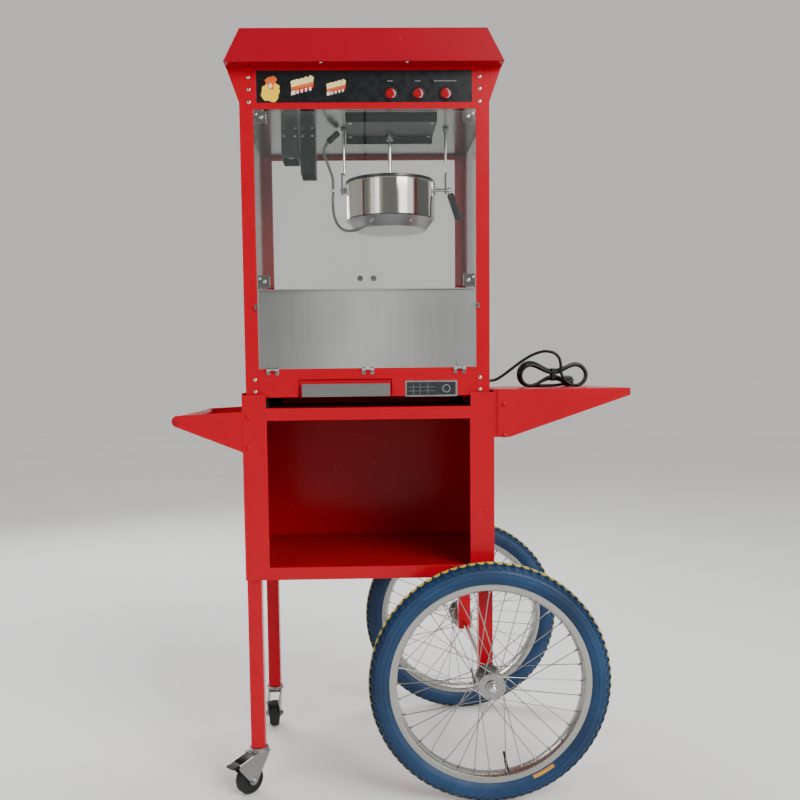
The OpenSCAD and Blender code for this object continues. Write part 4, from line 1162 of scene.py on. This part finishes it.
def make_tyre_patch(side, name):
    """A plain printed patch on the outer sidewall."""
    start, spread, steps = radians(-66), radians(13), 14
    verts, faces = [], []
    for k in range(steps + 1):
        for r in (211.5, 217.5):
            for lift in (0.35, -1):
                verts.append(wheel_point(side, start + spread * k / steps, r, sidewall(r) + lift))
    for k in range(steps):
        a, b = 4 * k, 4 * k + 4
        faces += [(a, b, b + 2, a + 2), (a + 1, a + 3, b + 3, b + 1), (a, a + 1, b + 1, b),
                  (a + 2, b + 2, b + 3, a + 3)]
    faces += [(0, 2, 3, 1), (4 * steps, 4 * steps + 1, 4 * steps + 3, 4 * steps + 2)]
    patch = Shape()
    patch.add(verts, faces)
    patch.make(name + "_tyre_patch", name + "_wheel", ["patch"], "tyre_blue", sharp=60)


for wheel_side, wheel_name in ((-1, "front"), (1, "rear")):
    make_tyre(wheel_side, wheel_name)
    make_wheel_trim(wheel_side, wheel_name)
    make_tyre_patch(wheel_side, wheel_name)


# ---------- casters ----------

# The legs that the casters stand under, each wheel's offset from its leg, and its height.
CASTER_X, CASTER_Y, TRAIL, CASTER_WHEEL_Z = -245, 190, 28, 31.5


def make_caster_details(side, angle, name):
    a = radians(angle)
    out = Vector((cos(a), sin(a), 0))
    across = Vector((-sin(a), cos(a), 0))
    foot = Vector((CASTER_X, side * CASTER_Y, 0))
    pin = foot + out * TRAIL + Vector((0, 0, CASTER_WHEEL_Z))
    fork = Shape()
    for s in (-1, 1):
        fork.lathe([(0, 0), (8.6, 0), (8.6, 1.2), (6.2, 1.4), (6.2, 5), (5, 6), (0, 6)],
                   pin + across * s * 16, across * s, 6 if s > 0 else 24)
        fork.lathe([(0, 0), (4, 0), (3.6, 1.6), (2, 2.4), (0, 2.6)],
                   foot + out * 58 + across * s * 16 + Vector((0, 0, 70)), across * s, 20)
    fork.lathe([(12, 86.6), (20.8, 86.6), (21.6, 88), (21.2, 90.6), (18, 92), (12, 92.2)], foot,
               UP, 40, 0, True)
    fork.make(name + "_caster_fittings", name + "_caster", ["zinc"], "caster_zinc")
    hub = Shape()
    hub.lathe([(4.3, -12.6), (10.5, -12.6), (11, -11.6), (11, 11.6), (10.5, 12.6), (4.3, 12.6)],
              pin, across, 32, 0, True)
    hub.lathe([(19.5, -9.3), (23.4, -9.3), (24.2, -8.6), (23.4, -8.2), (19.5, -8.2)],
              pin, across, 40, 0, True)
    hub.make(name + "_caster_hub", name + "_caster_wheel", ["grey_box"], "caster_wheel")
    pedal = Shape()
    for k in range(4):
        at = foot + out * (66 + k * 3.6)
        pedal.add([at + out * dx + across * dy + Vector((0, 0, 73.1 + dz - 0.1 * k))
                   for dz in (-1.4, 0.9) for dy in (-9, 9) for dx in (-0.8, 0.8)], BOX_FACES)
    pedal.make(name + "_brake_ribs", name + "_caster_brake", ["black"], "brake_black")


make_caster_details(-1, 225, "front")
make_caster_details(1, 270, "rear")


# ---------- stage and light ----------

FLOOR_TONE, FLOOR_REACH = 0.84, 60
# Brightness of the room's walls round the compass, as (share of a turn, level): pale walls
# with a window and dark gaps, for bright metal to mirror.
WALLS = [(0.0, 0.42), (0.052, 0.42), (0.060, 0.10), (0.075, 0.10), (0.088, 0.46),
         (0.178, 0.44), (0.195, 0.17), (0.300, 0.15), (0.318, 3.6), (0.404, 3.6),
         (0.426, 0.09), (0.570, 0.11), (0.590, 0.9), (0.640, 0.9), (0.680, 0.55), (1.0, 0.42)]


def make_stage():
    f = Finish("studio_floor", specular=0.0)
    f.colour(f.noise(1.2, 3), (FLOOR_TONE,) * 3, (0.3, 0.98), (0.7, 1.02))
    f.rough(f.noise(9, 3), (0.6, 0.8))
    f.bump((f.noise(240, 2), 0.05, 0.2))
    mesh = bpy.data.meshes.new("studio_floor")
    mesh.from_pydata([(-FLOOR_REACH, -FLOOR_REACH, 0), (FLOOR_REACH, -FLOOR_REACH, 0),
                      (FLOOR_REACH, FLOOR_REACH, 0), (-FLOOR_REACH, FLOOR_REACH, 0)],
                     [], [(0, 1, 2, 3)])
    mesh.materials.append(f.mat)
    floor = bpy.data.objects.new("studio_floor", mesh)
    link(floor)


def warm(level):
    return (level, level * 0.985, level * 0.95, 1)


def make_world():
    """A pale room: to the eye as bright as the far floor, with its walls for metal to mirror."""
    world = bpy.data.worlds.new("studio")
    world.use_nodes = True
    bpy.context.scene.world = world
    tree = world.node_tree
    where = add_node(tree, "ShaderNodeTexCoord", {}).outputs["Generated"]
    turn = add_node(tree, "ShaderNodeTexGradient", {"Vector": where}, gradient_type="RADIAL")
    walls = add_node(tree, "ShaderNodeValToRGB", {"Fac": turn.outputs["Color"]})
    set_stops(walls.color_ramp, [(place, warm(level)) for place, level in WALLS])
    mean = sum((b[0] - a[0]) * (a[1] + b[1]) / 2 for a, b in zip(WALLS, WALLS[1:]))
    seen = add_node(tree, "ShaderNodeLightPath", {}).outputs["Is Camera Ray"]
    mix = add_node(tree, "ShaderNodeMix", {}, data_type="RGBA")
    tree.links.new(seen, mix.inputs["Factor"])
    tree.links.new(walls.outputs["Color"], mix.inputs["A"])
    mix.inputs["B"].default_value = warm(mean * FLOOR_TONE)
    tree.links.new(mix.outputs["Result"], tree.nodes["Background"].inputs["Color"])


def area_light(name, at, aim, width, height, power):
    data = bpy.data.lights.new(name, "AREA")
    data.shape = "RECTANGLE"
    data.size, data.size_y, data.energy = width, height, power
    light = bpy.data.objects.new(name, data)
    light.location = at
    light.rotation_mode = "QUATERNION"
    light.rotation_quaternion = (Vector(aim) - Vector(at)).to_track_quat("-Z", "Y")
    link(light)


make_stage()
make_world()
area_light("key", (1.7, -3.0, 2.8), (0, 0, 0.9), 2.0, 1.6, 84)
area_light("fill", (-2.3, -2.6, 1.7), (0, 0, 0.9), 1.4, 2.2, 20)
area_light("top", (0.2, 1.4, 3.4), (0, 0, 1.0), 2.4, 1.4, 52)
area_light("rear", (-1.8, 2.6, 2.2), (0, 0, 0.8), 1.6, 1.6, 52)
